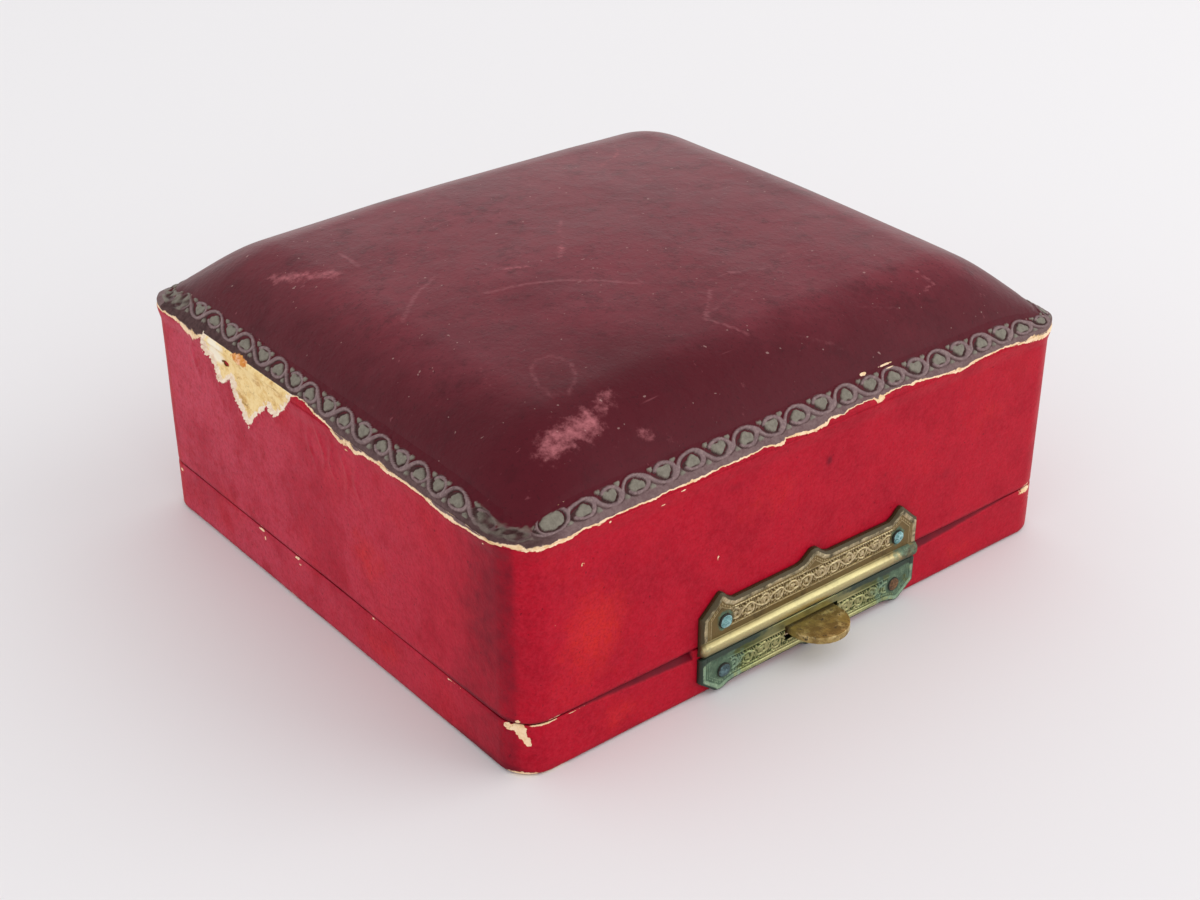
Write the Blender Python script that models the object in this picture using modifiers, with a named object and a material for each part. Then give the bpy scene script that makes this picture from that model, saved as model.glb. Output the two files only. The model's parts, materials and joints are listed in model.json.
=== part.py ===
"""A padded presentation case for a set of six dress buttons, closed by a thumb catch.

The case stands on its base. The clasp faces -Y, the hinges are at +Y and +Z is up. The origin
lies under the middle of the case, on the surface that it stands on. All sizes are in metres.
"""
import math

import bmesh
import bpy
import numpy as np
from mathutils import Matrix, Vector

# Outside of the case
CASE_WIDTH = 0.0970
CASE_DEPTH = 0.0890
CORNER_RADIUS = 0.0048
PARTING_HEIGHT = 0.00775
RIM_HEIGHT = 0.0335

# Padded top
RIM_OVERHANG = 0.0005
EDGE_BAND = 0.0006
ROLL_WIDTH = 0.0153
ROLL_RISE = 0.0085
CROWN_RISE = 0.0030
LEATHER = 0.0008
ROLL_POWER = 2

# Walls and sheets
FIT_GAP = 0.0003
PARTING_GAP = 0.0003
COVER = 0.0006
WALL = 0.0040
UNDERPAPER = 0.0003
BASE_BOARD = 0.0014
LID_PANEL = 0.0016
INNER_CORNER = 0.0010

# Linings and seats
COLLAR = 0.0010
COLLAR_RISE = 0.0025
LINING = 0.0008
LINING_GAP = 0.0010
CUSHION_EDGE = 0.0012
CUSHION_CROWN = 0.0016
CUSHION_ROLL = 0.0060
PAD_SWING_GAP = 0.0006
SEAT_BLOCK = 0.0064
SEAT_PAD = 0.0055
PAD_ROUNDING = 0.0010
SEAT_RADIUS = 0.0110
SHANK_RADIUS = 0.0026
SHANK_DEPTH = 0.0040
SEAT_COLUMNS = 3
SEAT_ROWS = 2

# Finger bevels on the base's front edge
BEVEL_START = 0.0206
BEVEL_END = 0.0420
BEVEL_DEPTH = 0.0015

# Clasp plates and their nails
PLATE = 0.0005
PLATE_HALF_WIDTH = 0.0200
UPPER_PLATE_RISE = 0.00775
CLASP_ROLL_RADIUS = 0.00125
LOWER_PLATE_FOOT = 0.00015
NAIL_INSET = 0.0040
UPPER_NAIL_RISE = 0.00325
LOWER_NAIL_DROP = 0.00455
NAIL_RADIUS = 0.0004
NAIL_HEAD_RADIUS = 0.0011
NAIL_HEAD_RISE = 0.00045
NAIL_LENGTH = 0.0034

# Thumb catch
TAB_RADIUS = 0.0044
TAB_REACH = 0.0012
TAB_THICKNESS = 0.0010
TAB_SLOT_GAP = 0.0005
TAB_TRAVEL = 0.0006
PIVOT_DEPTH = 0.0023
PIVOT_DROP = 0.00345
PIVOT_RADIUS = 0.00032
PIVOT_SEAT = 0.0018
BOSS_WALL = 0.00038
ARM_HALF_WIDTH = 0.0030
ARM_THICKNESS = 0.00065
ARM_RISE = 0.0028
NOSE_HALF_WIDTH = 0.0018
NOSE_REACH = 0.00065
NOSE_HEIGHT = 0.0006
POCKET_SIDE_GAP = 0.0008

# Keeper and spring of the catch
KEEPER_THICKNESS = 0.00045
KEEPER_LIP = 0.0006
KEEPER_TANG = 0.0050
SPRING_HALF_LENGTH = 0.0080
SPRING_THICKNESS = 0.00025
SPRING_HEIGHT = 0.0013
SPRING_TOP_DROP = 0.0001

# Hinges
HINGE_INSET = 0.0225
HINGE_WIDTH = 0.0140
KNUCKLE_RADIUS = 0.0011
KNUCKLE_GAP = 0.0004
CENTRE_KNUCKLE = 0.0046
HINGE_PIN_RADIUS = 0.00045
HINGE_LEAF = 0.0006
LEAF_LENGTH = 0.0042
LEAF_NAIL_SPREAD = 0.0044
LEAF_NAIL_INSET = 0.00275
LEAF_NAIL_RADIUS = 0.0004
LEAF_NAIL_HEAD = 0.00075
LEAF_NAIL_SINK = 0.0005
LEAF_NAIL_LENGTH = 0.0036

# One overrun lets every cutter reach past what it cuts
OVERRUN = 0.0020
MERGE_DISTANCE = 0.00001

# Mesh fineness
ARC_STEPS = 7
ROUND_STEPS = 24
FINE_ROUND_STEPS = 16
DOME_STEPS = 4
CROWN_STEPS = 22
SOFT_STEPS = 14
SPACING_POWER = 1.7

# Right halves of the clasp plates' outlines, as shares of the half width and of the height
UPPER_OUTLINE_SHARES = (
    (1.0, 0.0), (1.0, 0.62), (0.97, 0.68), (0.85, 0.98), (0.83, 1.0), (0.80, 0.95),
    (0.77, 0.86), (0.72, 0.785), (0.15, 0.80), (0.105, 0.83), (0.06, 0.92), (0.03, 0.985),
)
LOWER_OUTLINE_SHARES = (
    (1.0, 0.0), (1.0, 0.62), (0.97, 0.70), (0.86, 0.98), (0.83, 1.0), (0.80, 0.98),
    (0.76, 0.92), (0.70, 0.88), (0.10, 0.88), (0.06, 0.93), (0.03, 0.99),
)

# Places worked out from the sizes above
HALF_X = CASE_WIDTH / 2
HALF_Y = CASE_DEPTH / 2
BASE_TOP = PARTING_HEIGHT - PARTING_GAP / 2
LID_BOTTOM = PARTING_HEIGHT + PARTING_GAP / 2
BOARD_BOTTOM = UNDERPAPER + FIT_GAP
BOARD_TOP = BOARD_BOTTOM + BASE_BOARD
RAIL_BOTTOM = BOARD_TOP + FIT_GAP
COVER_TOP = RIM_HEIGHT - FIT_GAP
PANEL_BOTTOM = COVER_TOP - LID_PANEL
LID_RAIL_TOP = PANEL_BOTTOM - FIT_GAP
RAIL_INSET = COVER + FIT_GAP
WALL_INSET = RAIL_INSET + WALL
LINING_INSET = WALL_INSET + FIT_GAP
PAD_INSET = LINING_INSET + max(COLLAR, LINING) + PAD_SWING_GAP
FRONT_Y = -HALF_Y
PLATE_BACK = FRONT_Y - FIT_GAP
PLATE_FRONT = PLATE_BACK - PLATE
PIVOT = Vector((0.0, FRONT_Y + PIVOT_DEPTH, PARTING_HEIGHT - PIVOT_DROP))
PIVOT_BORE = PIVOT_RADIUS + FIT_GAP
POCKET_SIDE = TAB_RADIUS + POCKET_SIDE_GAP
KEEPER_FRONT = PIVOT.y + NOSE_REACH + FIT_GAP
KEEPER_BACK = KEEPER_FRONT + KEEPER_THICKNESS
HINGE_AXIS = Vector((0.0, HALF_Y, PARTING_HEIGHT))


def start_scene():
    """Clear the file and make one collection for the pieces and one for the cutters."""
    for item in list(bpy.data.objects):
        bpy.data.objects.remove(item, do_unlink=True)
    groups = []
    for name in ("button_set_case", "cutters"):
        group = bpy.data.collections.new(name)
        bpy.context.scene.collection.children.link(group)
        groups.append(group)
    return groups


PIECES, CUTTERS = start_scene()


def linear(hex_colour):
    """Turn an sRGB hex colour into linear values."""
    values = [int(hex_colour[i:i + 2], 16) / 255 for i in (0, 2, 4)]
    return [v / 12.92 if v <= 0.04045 else ((v + 0.055) / 1.055) ** 2.4 for v in values]


def finish(item, hex_colour, roughness, metallic=0.0):
    """Give a piece its own Principled material."""
    material = bpy.data.materials.new(item.name + "_finish")
    material.use_nodes = True
    shader = material.node_tree.nodes["Principled BSDF"]
    shader.inputs["Base Color"].default_value = (*linear(hex_colour), 1.0)
    shader.inputs["Roughness"].default_value = roughness
    shader.inputs["Metallic"].default_value = metallic
    item.data.materials.clear()
    item.data.materials.append(material)
    return item


def add_object(name, mesh, location=(0.0, 0.0, 0.0)):
    """Link a mesh to the collection of pieces."""
    item = bpy.data.objects.new(name, mesh)
    item.location = location
    PIECES.objects.link(item)
    return item


def as_tool(item):
    """Move an object to the cutters, which are not part of the case."""
    PIECES.objects.unlink(item)
    CUTTERS.objects.link(item)
    item.hide_render = True
    item.display_type = "WIRE"
    return item


def combine(target, operation, *tools):
    """Cut, join or intersect a piece with other solids."""
    for tool in tools:
        modifier = target.modifiers.new(tool.name, "BOOLEAN")
        modifier.operation = operation
        modifier.solver = "EXACT"
        modifier.object = tool
    return target


def round_edges(item, width, segments):
    """Round a piece's sharp edges."""
    modifier = item.modifiers.new("rounded_edges", "BEVEL")
    modifier.width = width
    modifier.segments = segments
    modifier.limit_method = "ANGLE"
    modifier.angle_limit = math.radians(40)
    return item


def smooth(item):
    """Shade a round piece smooth, with its edges kept sharp."""
    item.data.shade_smooth()
    item.data.set_sharp_from_angle(angle=math.radians(35))
    return item


def rounded_outline(half_x, half_y, radius):
    """Points of a rectangle with round corners, anticlockwise."""
    points = []
    for side_x, side_y, start in ((1, -1, -90), (1, 1, 0), (-1, 1, 90), (-1, -1, 180)):
        for step in range(ARC_STEPS):
            angle = math.radians(start + 90 * step / (ARC_STEPS - 1))
            x = side_x * (half_x - radius) + radius * math.cos(angle)
            y = side_y * (half_y - radius) + radius * math.sin(angle)
            points.append((x, y))
    return points


def case_outline(inset):
    """The case's outline, drawn in by an inset."""
    radius = max(CORNER_RADIUS - inset, INNER_CORNER)
    return rounded_outline(HALF_X - inset, HALF_Y - inset, radius)


def prism(name, loops, low, high, upright=False):
    """Extrude flat loops from low to high along Z, or along Y where they stand upright."""
    curve = bpy.data.curves.new(name, "CURVE")
    curve.dimensions = "2D"
    curve.fill_mode = "BOTH"
    curve.extrude = (high - low) / 2
    for loop in loops:
        spline = curve.splines.new("POLY")
        spline.points.add(len(loop) - 1)
        for point, (x, y) in zip(spline.points, loop):
            point.co = (x, y, 0.0, 1.0)
        spline.use_cyclic_u = True
    drawn = bpy.data.objects.new(name + "_outline", curve)
    PIECES.objects.link(drawn)
    graph = bpy.context.evaluated_depsgraph_get()
    mesh = bpy.data.meshes.new_from_object(drawn.evaluated_get(graph))
    bpy.data.objects.remove(drawn, do_unlink=True)
    bpy.data.curves.remove(curve)
    shape = bmesh.new()
    shape.from_mesh(mesh)
    bmesh.ops.remove_doubles(shape, verts=shape.verts, dist=MERGE_DISTANCE)
    if upright:
        turn = Matrix.Rotation(math.pi / 2, 3, "X")
        bmesh.ops.rotate(shape, verts=shape.verts, matrix=turn)
    bmesh.ops.recalc_face_normals(shape, faces=shape.faces)
    shape.to_mesh(mesh)
    shape.free()
    mesh.name = name
    middle = (low + high) / 2
    return add_object(name, mesh, (0.0, middle, 0.0) if upright else (0.0, 0.0, middle))


def box(name, low, high):
    """A box between two corners."""
    low = Vector(low)
    high = Vector(high)
    shape = bmesh.new()
    bmesh.ops.create_cube(shape, size=1.0, matrix=Matrix.Diagonal((*(high - low), 1.0)))
    mesh = bpy.data.meshes.new(name)
    shape.to_mesh(mesh)
    shape.free()
    return add_object(name, mesh, (low + high) / 2)


def rod(name, radius, start, end, steps=ROUND_STEPS):
    """A round rod between two points."""
    start = Vector(start)
    end = Vector(end)
    shape = bmesh.new()
    turn = (end - start).to_track_quat("Z", "Y").to_matrix().to_4x4()
    bmesh.ops.create_cone(
        shape, cap_ends=True, segments=steps, radius1=radius, radius2=radius,
        depth=(end - start).length, matrix=turn)
    mesh = bpy.data.meshes.new(name)
    shape.to_mesh(mesh)
    shape.free()
    return smooth(add_object(name, mesh, (start + end) / 2))


def turned(name, profile, location, axis):
    """Turn a profile of (radius, height) points, listed from its top down, about an axis."""
    mesh = bpy.data.meshes.new(name)
    points = [(radius, 0.0, height) for radius, height in profile]
    mesh.from_pydata(points, [(i, i + 1) for i in range(len(points) - 1)], [])
    item = add_object(name, mesh, location)
    item.rotation_euler = Vector(axis).to_track_quat("Z", "Y").to_euler()
    screw = item.modifiers.new("turned", "SCREW")
    screw.axis = "Z"
    screw.steps = FINE_ROUND_STEPS
    screw.render_steps = FINE_ROUND_STEPS
    screw.use_merge_vertices = True
    screw.merge_threshold = MERGE_DISTANCE
    return item


def build_wooden_frames():
    """The board, the panel and the mitred rails that carry the base and the lid."""
    board = prism("base_board", [case_outline(RAIL_INSET)], BOARD_BOTTOM, BOARD_TOP)
    panel = prism("lid_panel", [case_outline(RAIL_INSET)], PANEL_BOTTOM, COVER_TOP)
    finish(board, "A98C62", 0.85)
    finish(panel, "A98C62", 0.85)
    base_rails = mitred_rails("base", RAIL_BOTTOM, BASE_TOP)
    lid_rails = mitred_rails("lid", LID_BOTTOM, LID_RAIL_TOP)
    combine(base_rails["front"], "DIFFERENCE", *finger_bevels("rail", RAIL_INSET))
    return base_rails, lid_rails


def mitred_rails(prefix, low, high):
    """Four rails round the case, mitred at the corners and rounded outside."""
    half_x = HALF_X - RAIL_INSET
    half_y = HALF_Y - RAIL_INSET
    slack = FIT_GAP / math.sqrt(2)
    rails = {}
    for place, side, along, across in (
            ("front", -1, half_x, half_y), ("back", 1, half_x, half_y),
            ("left", -1, half_y, half_x), ("right", 1, half_y, half_x)):
        name = prefix + "_" + place + "_rail"
        loops = [case_outline(RAIL_INSET), case_outline(WALL_INSET)]
        rail = prism(name, loops, low, high)
        outer = along + OVERRUN - slack
        inner = along - WALL - OVERRUN - slack
        outside = side * (across + OVERRUN)
        inside = side * (across - WALL - OVERRUN)
        shape = [(-outer, outside), (outer, outside), (inner, inside), (-inner, inside)]
        if place in ("left", "right"):
            shape = [(y, x) for x, y in shape]
        mitre = prism(name + "_mitre", [shape], low - OVERRUN, high + OVERRUN)
        combine(rail, "INTERSECT", as_tool(mitre))
        rails[place] = finish(rail, "B08A58", 0.7)
    return rails


def finger_bevels(label, depth):
    """Wedges that cut the two finger bevels, grown by a depth on the faces that cut."""
    wedges = []
    for side, place in ((-1, "left"), (1, "right")):
        fade = Vector((side * BEVEL_END, FRONT_Y, BASE_TOP))
        low = Vector((side * BEVEL_START, FRONT_Y, BASE_TOP - BEVEL_DEPTH))
        back = Vector((side * BEVEL_START, FRONT_Y + BEVEL_DEPTH, BASE_TOP))
        near = (low + back) / 2
        along = (fade - near).normalized()
        across = (back - low).normalized()
        upward = along.cross(across) * side
        length = (fade - near).length + OVERRUN + 2 * depth
        width = 2 * (BEVEL_DEPTH + OVERRUN + depth)
        height = BEVEL_DEPTH + OVERRUN
        wedge = box("finger_bevel_%s_%s" % (place, label), (0, -width / 2, 0), (length, width / 2, height))
        axes = Matrix((along, across, upward)).transposed().to_4x4()
        start = Matrix.Translation(near - along * depth - upward * depth)
        wedge.data.transform(start @ axes @ Matrix.Translation(wedge.location))
        wedge.location = (0.0, 0.0, 0.0)
        if axes.determinant() < 0:
            wedge.data.flip_normals()
        wedges.append(as_tool(wedge))
    return wedges


def build_coverings():
    """The underpaper and the red covering skins of the base and the lid."""
    underpaper = prism("base_underpaper", [case_outline(0.0)], 0.0, UNDERPAPER)
    finish(underpaper, "CDBB93", 0.9)
    base_cover = prism("base_cover", [case_outline(0.0)], BOARD_BOTTOM, BASE_TOP)
    core = prism(
        "base_cover_core", [case_outline(COVER)], BOARD_BOTTOM - OVERRUN, BASE_TOP + OVERRUN)
    combine(core, "DIFFERENCE", *finger_bevels("core", COVER))
    combine(base_cover, "DIFFERENCE", *finger_bevels("skin", 0.0))
    combine(base_cover, "DIFFERENCE", as_tool(core))
    finish(base_cover, "B21E33", 0.5)
    loops = [case_outline(0.0), case_outline(COVER)]
    lid_cover = finish(prism("lid_side_cover", loops, LID_BOTTOM, COVER_TOP), "B21E33", 0.5)
    return base_cover, lid_cover


def edge_roll(distance, width):
    """A roll that starts steep at the edge and levels out at its width."""
    return 1 - (1 - np.clip(distance / width, 0, 1)) ** ROLL_POWER


def top_heights(x, y):
    """Rise of the padded top over its rim: a band, rolled edges and a low crown."""
    half_x, half_y = HALF_X + RIM_OVERHANG, HALF_Y + RIM_OVERHANG
    roll_x = edge_roll(half_x - np.abs(x), ROLL_WIDTH)
    roll_y = edge_roll(half_y - np.abs(y), ROLL_WIDTH)
    crown = (1 - (x / half_x) ** 2) * (1 - (y / half_y) ** 2)
    return EDGE_BAND + ROLL_RISE * roll_x * roll_y + CROWN_RISE * crown


def wadding_heights(x, y):
    """Rise of the wadding, which stays clear of the leather where that is steepest."""
    steepest = ROLL_RISE * ROLL_POWER / ROLL_WIDTH + 2 * CROWN_RISE / HALF_Y
    drop = (LEATHER + 2 * FIT_GAP) * math.hypot(1, steepest)
    return np.maximum(top_heights(x, y) - drop, EDGE_BAND / 2)


def cushion_heights(x, y):
    """Depth of the lining cushion: an upright edge, drawn-in sides and a low crown."""
    roll_x = edge_roll(HALF_X - LINING_INSET - np.abs(x), CUSHION_ROLL)
    roll_y = edge_roll(HALF_Y - LINING_INSET - np.abs(y), CUSHION_ROLL)
    return -CUSHION_EDGE - CUSHION_CROWN * roll_x * roll_y


def on_outline(u, v, half_x, half_y, radius):
    """Move points of a square's edge to a rounded outline, closer together at its corners."""
    flat_x, flat_y = half_x - radius, half_y - radius
    half_arc = radius * math.pi / 4
    on_side = np.abs(u) >= np.abs(v)
    share = 1 - (1 - np.minimum(np.abs(u), np.abs(v))) ** SPACING_POWER
    flat = np.where(on_side, flat_y, flat_x)
    past = share * (flat + half_arc) - flat
    turn = np.clip(past, 0, None) / radius
    out = radius * np.cos(turn)
    along = np.where(past > 0, radius * np.sin(turn), past)
    x = flat_x + np.where(on_side, out, along)
    y = flat_y + np.where(on_side, along, out)
    return np.sign(u) * x, np.sign(v) * y


def crowned_sheet(name, inset, steps, heights):
    """A grid of rings that shrink from the rounded outline, raised by a height function.

    The outermost ring stays at zero under the next one, which makes an upright band there.
    """
    bpy.ops.mesh.primitive_grid_add(x_subdivisions=steps, y_subdivisions=steps)
    item = bpy.context.object
    item.name = name
    item.data.name = name
    for group in item.users_collection:
        group.objects.unlink(item)
    PIECES.objects.link(item)
    places = np.empty(len(item.data.vertices) * 3)
    item.data.vertices.foreach_get("co", places)
    u, v = places.reshape(-1, 3)[:, :2].T
    ring = np.maximum(np.abs(u), np.abs(v))
    rings = steps / 2
    from_edge = np.rint((1 - ring) * rings)
    inward = np.maximum(from_edge - 1, 0) / (rings - 1)
    scale = 1 - inward ** SPACING_POWER
    whole = np.where(ring > 0, ring, 1)
    radius = max(CORNER_RADIUS - inset, INNER_CORNER)
    x, y = on_outline(u / whole, v / whole, HALF_X - inset, HALF_Y - inset, radius)
    x, y = x * scale, y * scale
    z = np.where(from_edge < 1, 0.0, heights(x, y))
    item.data.vertices.foreach_set("co", np.stack([x, y, z], axis=1).ravel())
    item.data.update()
    return item


def close_rim(item):
    """Close a crowned sheet with one flat face across its rim."""
    shape = bmesh.new()
    shape.from_mesh(item.data)
    rim = [edge for edge in shape.edges if edge.is_boundary]
    bmesh.ops.edgeloop_fill(shape, edges=rim)
    bmesh.ops.recalc_face_normals(shape, faces=shape.faces)
    shape.to_mesh(item.data)
    shape.free()
    return item


def build_padded_top():
    """The domed leather with its rim, and the wadding between it and the lid's panel."""
    leather = crowned_sheet("lid_top_leather", -RIM_OVERHANG, CROWN_STEPS, top_heights)
    leather.location = (0.0, 0.0, RIM_HEIGHT)
    shell = leather.modifiers.new("leather", "SOLIDIFY")
    shell.thickness = LEATHER
    shell.offset = -1.0
    finish(smooth(leather), "5E2430", 0.45)
    inset = LEATHER + FIT_GAP - RIM_OVERHANG
    wadding = crowned_sheet("lid_padding", inset, SOFT_STEPS, wadding_heights)
    wadding.location = (0.0, 0.0, RIM_HEIGHT)
    finish(smooth(close_rim(wadding)), "D9CDB4", 0.95)


def build_lid_linings():
    """The side lining of the lid and the padded cushion under its panel."""
    low = PARTING_HEIGHT + COLLAR_RISE + LINING_GAP
    sag = CUSHION_CROWN * float(edge_roll(LINING, CUSHION_ROLL))
    high = LID_RAIL_TOP - CUSHION_EDGE - sag - FIT_GAP
    loops = [case_outline(LINING_INSET), case_outline(LINING_INSET + LINING)]
    finish(prism("lid_side_lining", loops, low, high), "D8C9A8", 0.6)
    cushion = crowned_sheet("lid_lining_cushion", LINING_INSET, SOFT_STEPS, cushion_heights)
    cushion.location = (0.0, 0.0, LID_RAIL_TOP)
    finish(smooth(close_rim(cushion)), "DCCBA4", 0.5)


def build_seats():
    """The collar that guides the lid, the block in it and the velvet pad with its seats."""
    loops = [case_outline(LINING_INSET), case_outline(LINING_INSET + COLLAR)]
    collar = prism("base_collar", loops, RAIL_BOTTOM, PARTING_HEIGHT + COLLAR_RISE)
    finish(collar, "6E1F2A", 0.9)
    block_top = RAIL_BOTTOM + SEAT_BLOCK
    pad_bottom = block_top + FIT_GAP
    pad_top = pad_bottom + SEAT_PAD
    block = prism("seat_block", [case_outline(PAD_INSET)], RAIL_BOTTOM, block_top)
    pad = prism("seat_pad", [case_outline(PAD_INSET)], pad_bottom, pad_top)
    pitch_x = 2 * (HALF_X - PAD_INSET) / SEAT_COLUMNS
    pitch_y = 2 * (HALF_Y - PAD_INSET) / SEAT_ROWS
    for column in range(SEAT_COLUMNS):
        for row in range(SEAT_ROWS):
            x = (column - (SEAT_COLUMNS - 1) / 2) * pitch_x
            y = (row - (SEAT_ROWS - 1) / 2) * pitch_y
            tag = "_%d_%d" % (column + 1, row + 1)
            well = rod(
                "seat_well" + tag, SEAT_RADIUS, (x, y, pad_bottom - OVERRUN),
                (x, y, pad_top + OVERRUN))
            shank = rod(
                "shank_hole" + tag, SHANK_RADIUS, (x, y, block_top - SHANK_DEPTH),
                (x, y, block_top + OVERRUN), FINE_ROUND_STEPS)
            combine(pad, "DIFFERENCE", as_tool(well))
            combine(block, "DIFFERENCE", as_tool(shank))
    finish(round_edges(pad, PAD_ROUNDING, 2), "6E1F2A", 0.95)
    finish(block, "B9A06F", 0.85)


def mirrored_outline(shares, half_width, start, height):
    """Both halves of a plate's outline, from shares of its half width and its height."""
    right = [(x * half_width, start + z * height) for x, z in shares]
    left = [(-x, z) for x, z in reversed(right)]
    return right + [(0.0, start + height)] + left


def build_clasp_plates():
    """The upper plate with the roll that hides the parting line, and the slotted lower one."""
    outline = mirrored_outline(
        UPPER_OUTLINE_SHARES, PLATE_HALF_WIDTH, PARTING_HEIGHT, UPPER_PLATE_RISE)
    upper = prism("clasp_lid_plate", [outline], PLATE_FRONT, PLATE_BACK, upright=True)
    past = PLATE_HALF_WIDTH + OVERRUN
    reach = CLASP_ROLL_RADIUS + OVERRUN
    roll = rod(
        "clasp_roll", CLASP_ROLL_RADIUS, (-PLATE_HALF_WIDTH, PLATE_BACK, PARTING_HEIGHT),
        (PLATE_HALF_WIDTH, PLATE_BACK, PARTING_HEIGHT))
    behind = box(
        "clasp_roll_back", (-past, PLATE_BACK, PARTING_HEIGHT - reach),
        (past, PLATE_BACK + reach, PARTING_HEIGHT + reach))
    combine(upper, "UNION", as_tool(roll))
    combine(upper, "DIFFERENCE", as_tool(behind))
    finish(upper, "8C7A45", 0.35, 1.0)
    top = PARTING_HEIGHT - CLASP_ROLL_RADIUS - FIT_GAP
    outline = mirrored_outline(
        LOWER_OUTLINE_SHARES, PLATE_HALF_WIDTH, top, LOWER_PLATE_FOOT - top)
    lower = prism("clasp_base_plate", [outline], PLATE_FRONT, PLATE_BACK, upright=True)
    combine(lower, "DIFFERENCE", tab_slot("plate_slot"))
    finish(lower, "7F7A44", 0.4, 1.0)
    return upper, lower


def tab_slot(name):
    """The slot that the thumb tab swings in, through the plate and the covering."""
    side = TAB_RADIUS + TAB_SLOT_GAP
    low = PIVOT.z - TAB_THICKNESS / 2 - TAB_TRAVEL - FIT_GAP
    high = PIVOT.z + TAB_THICKNESS / 2 + FIT_GAP
    front = PLATE_FRONT - OVERRUN
    back = FRONT_Y + RAIL_INSET
    return as_tool(box(name, (-side, front, low), (side, back, high)))


def clasp_nail(name, x, z, plate, cover, rail):
    """A round-headed nail from a clasp plate through the covering into the wooden rail."""
    quarter = [math.pi / 2 * step / DOME_STEPS for step in range(DOME_STEPS + 1)]
    dome = [(NAIL_HEAD_RADIUS * math.sin(a), NAIL_HEAD_RISE * math.cos(a)) for a in quarter]
    stem = [(NAIL_RADIUS, 0.0), (NAIL_RADIUS, -NAIL_LENGTH), (0.0, -NAIL_LENGTH)]
    place = Vector((x, PLATE_FRONT - FIT_GAP, z))
    piece = turned(name, dome + stem, place, (0, -1, 0))
    into = Vector((0, NAIL_LENGTH + FIT_GAP, 0))
    clear = Vector((0, OVERRUN, 0))
    hole = rod(name + "_hole", NAIL_RADIUS + FIT_GAP, place - clear, place + into, FINE_ROUND_STEPS)
    as_tool(hole)
    for target in (plate, cover, rail):
        combine(target, "DIFFERENCE", hole)
    return finish(piece, "6F8F8C", 0.6, 1.0)


def build_thumb_catch():
    """The catch: a half-disc tab, a boss round its pivot, and an arm with a nose."""
    centre_y = PLATE_FRONT - TAB_REACH
    arc = [math.pi * (1 + step / FINE_ROUND_STEPS) for step in range(FINE_ROUND_STEPS + 1)]
    disc = [(TAB_RADIUS * math.cos(a), centre_y + TAB_RADIUS * math.sin(a)) for a in arc]
    outline = disc + [(TAB_RADIUS, PIVOT.y), (-TAB_RADIUS, PIVOT.y)]
    low = PIVOT.z - TAB_THICKNESS / 2
    catch = prism("thumb_catch", [outline], low, low + TAB_THICKNESS)
    half = Vector((TAB_RADIUS, 0, 0))
    past = Vector((TAB_RADIUS + OVERRUN, 0, 0))
    boss = rod("catch_boss", PIVOT_BORE + BOSS_WALL, PIVOT - half, PIVOT + half)
    bore = rod("catch_bore", PIVOT_BORE, PIVOT - past, PIVOT + past, FINE_ROUND_STEPS)
    top = PIVOT.z + ARM_RISE
    arm = box(
        "catch_arm", (-ARM_HALF_WIDTH, PIVOT.y - ARM_THICKNESS, PIVOT.z),
        (ARM_HALF_WIDTH, PIVOT.y, top))
    nose = box(
        "catch_nose", (-NOSE_HALF_WIDTH, PIVOT.y - ARM_THICKNESS / 2, top - NOSE_HEIGHT),
        (NOSE_HALF_WIDTH, PIVOT.y + NOSE_REACH, top))
    combine(catch, "UNION", as_tool(boss), as_tool(arm), as_tool(nose))
    combine(catch, "DIFFERENCE", as_tool(bore))
    catch.data.transform(Matrix.Translation(catch.location - PIVOT))
    catch.location = PIVOT
    finish(catch, "8A6F3C", 0.4, 1.0)


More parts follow.
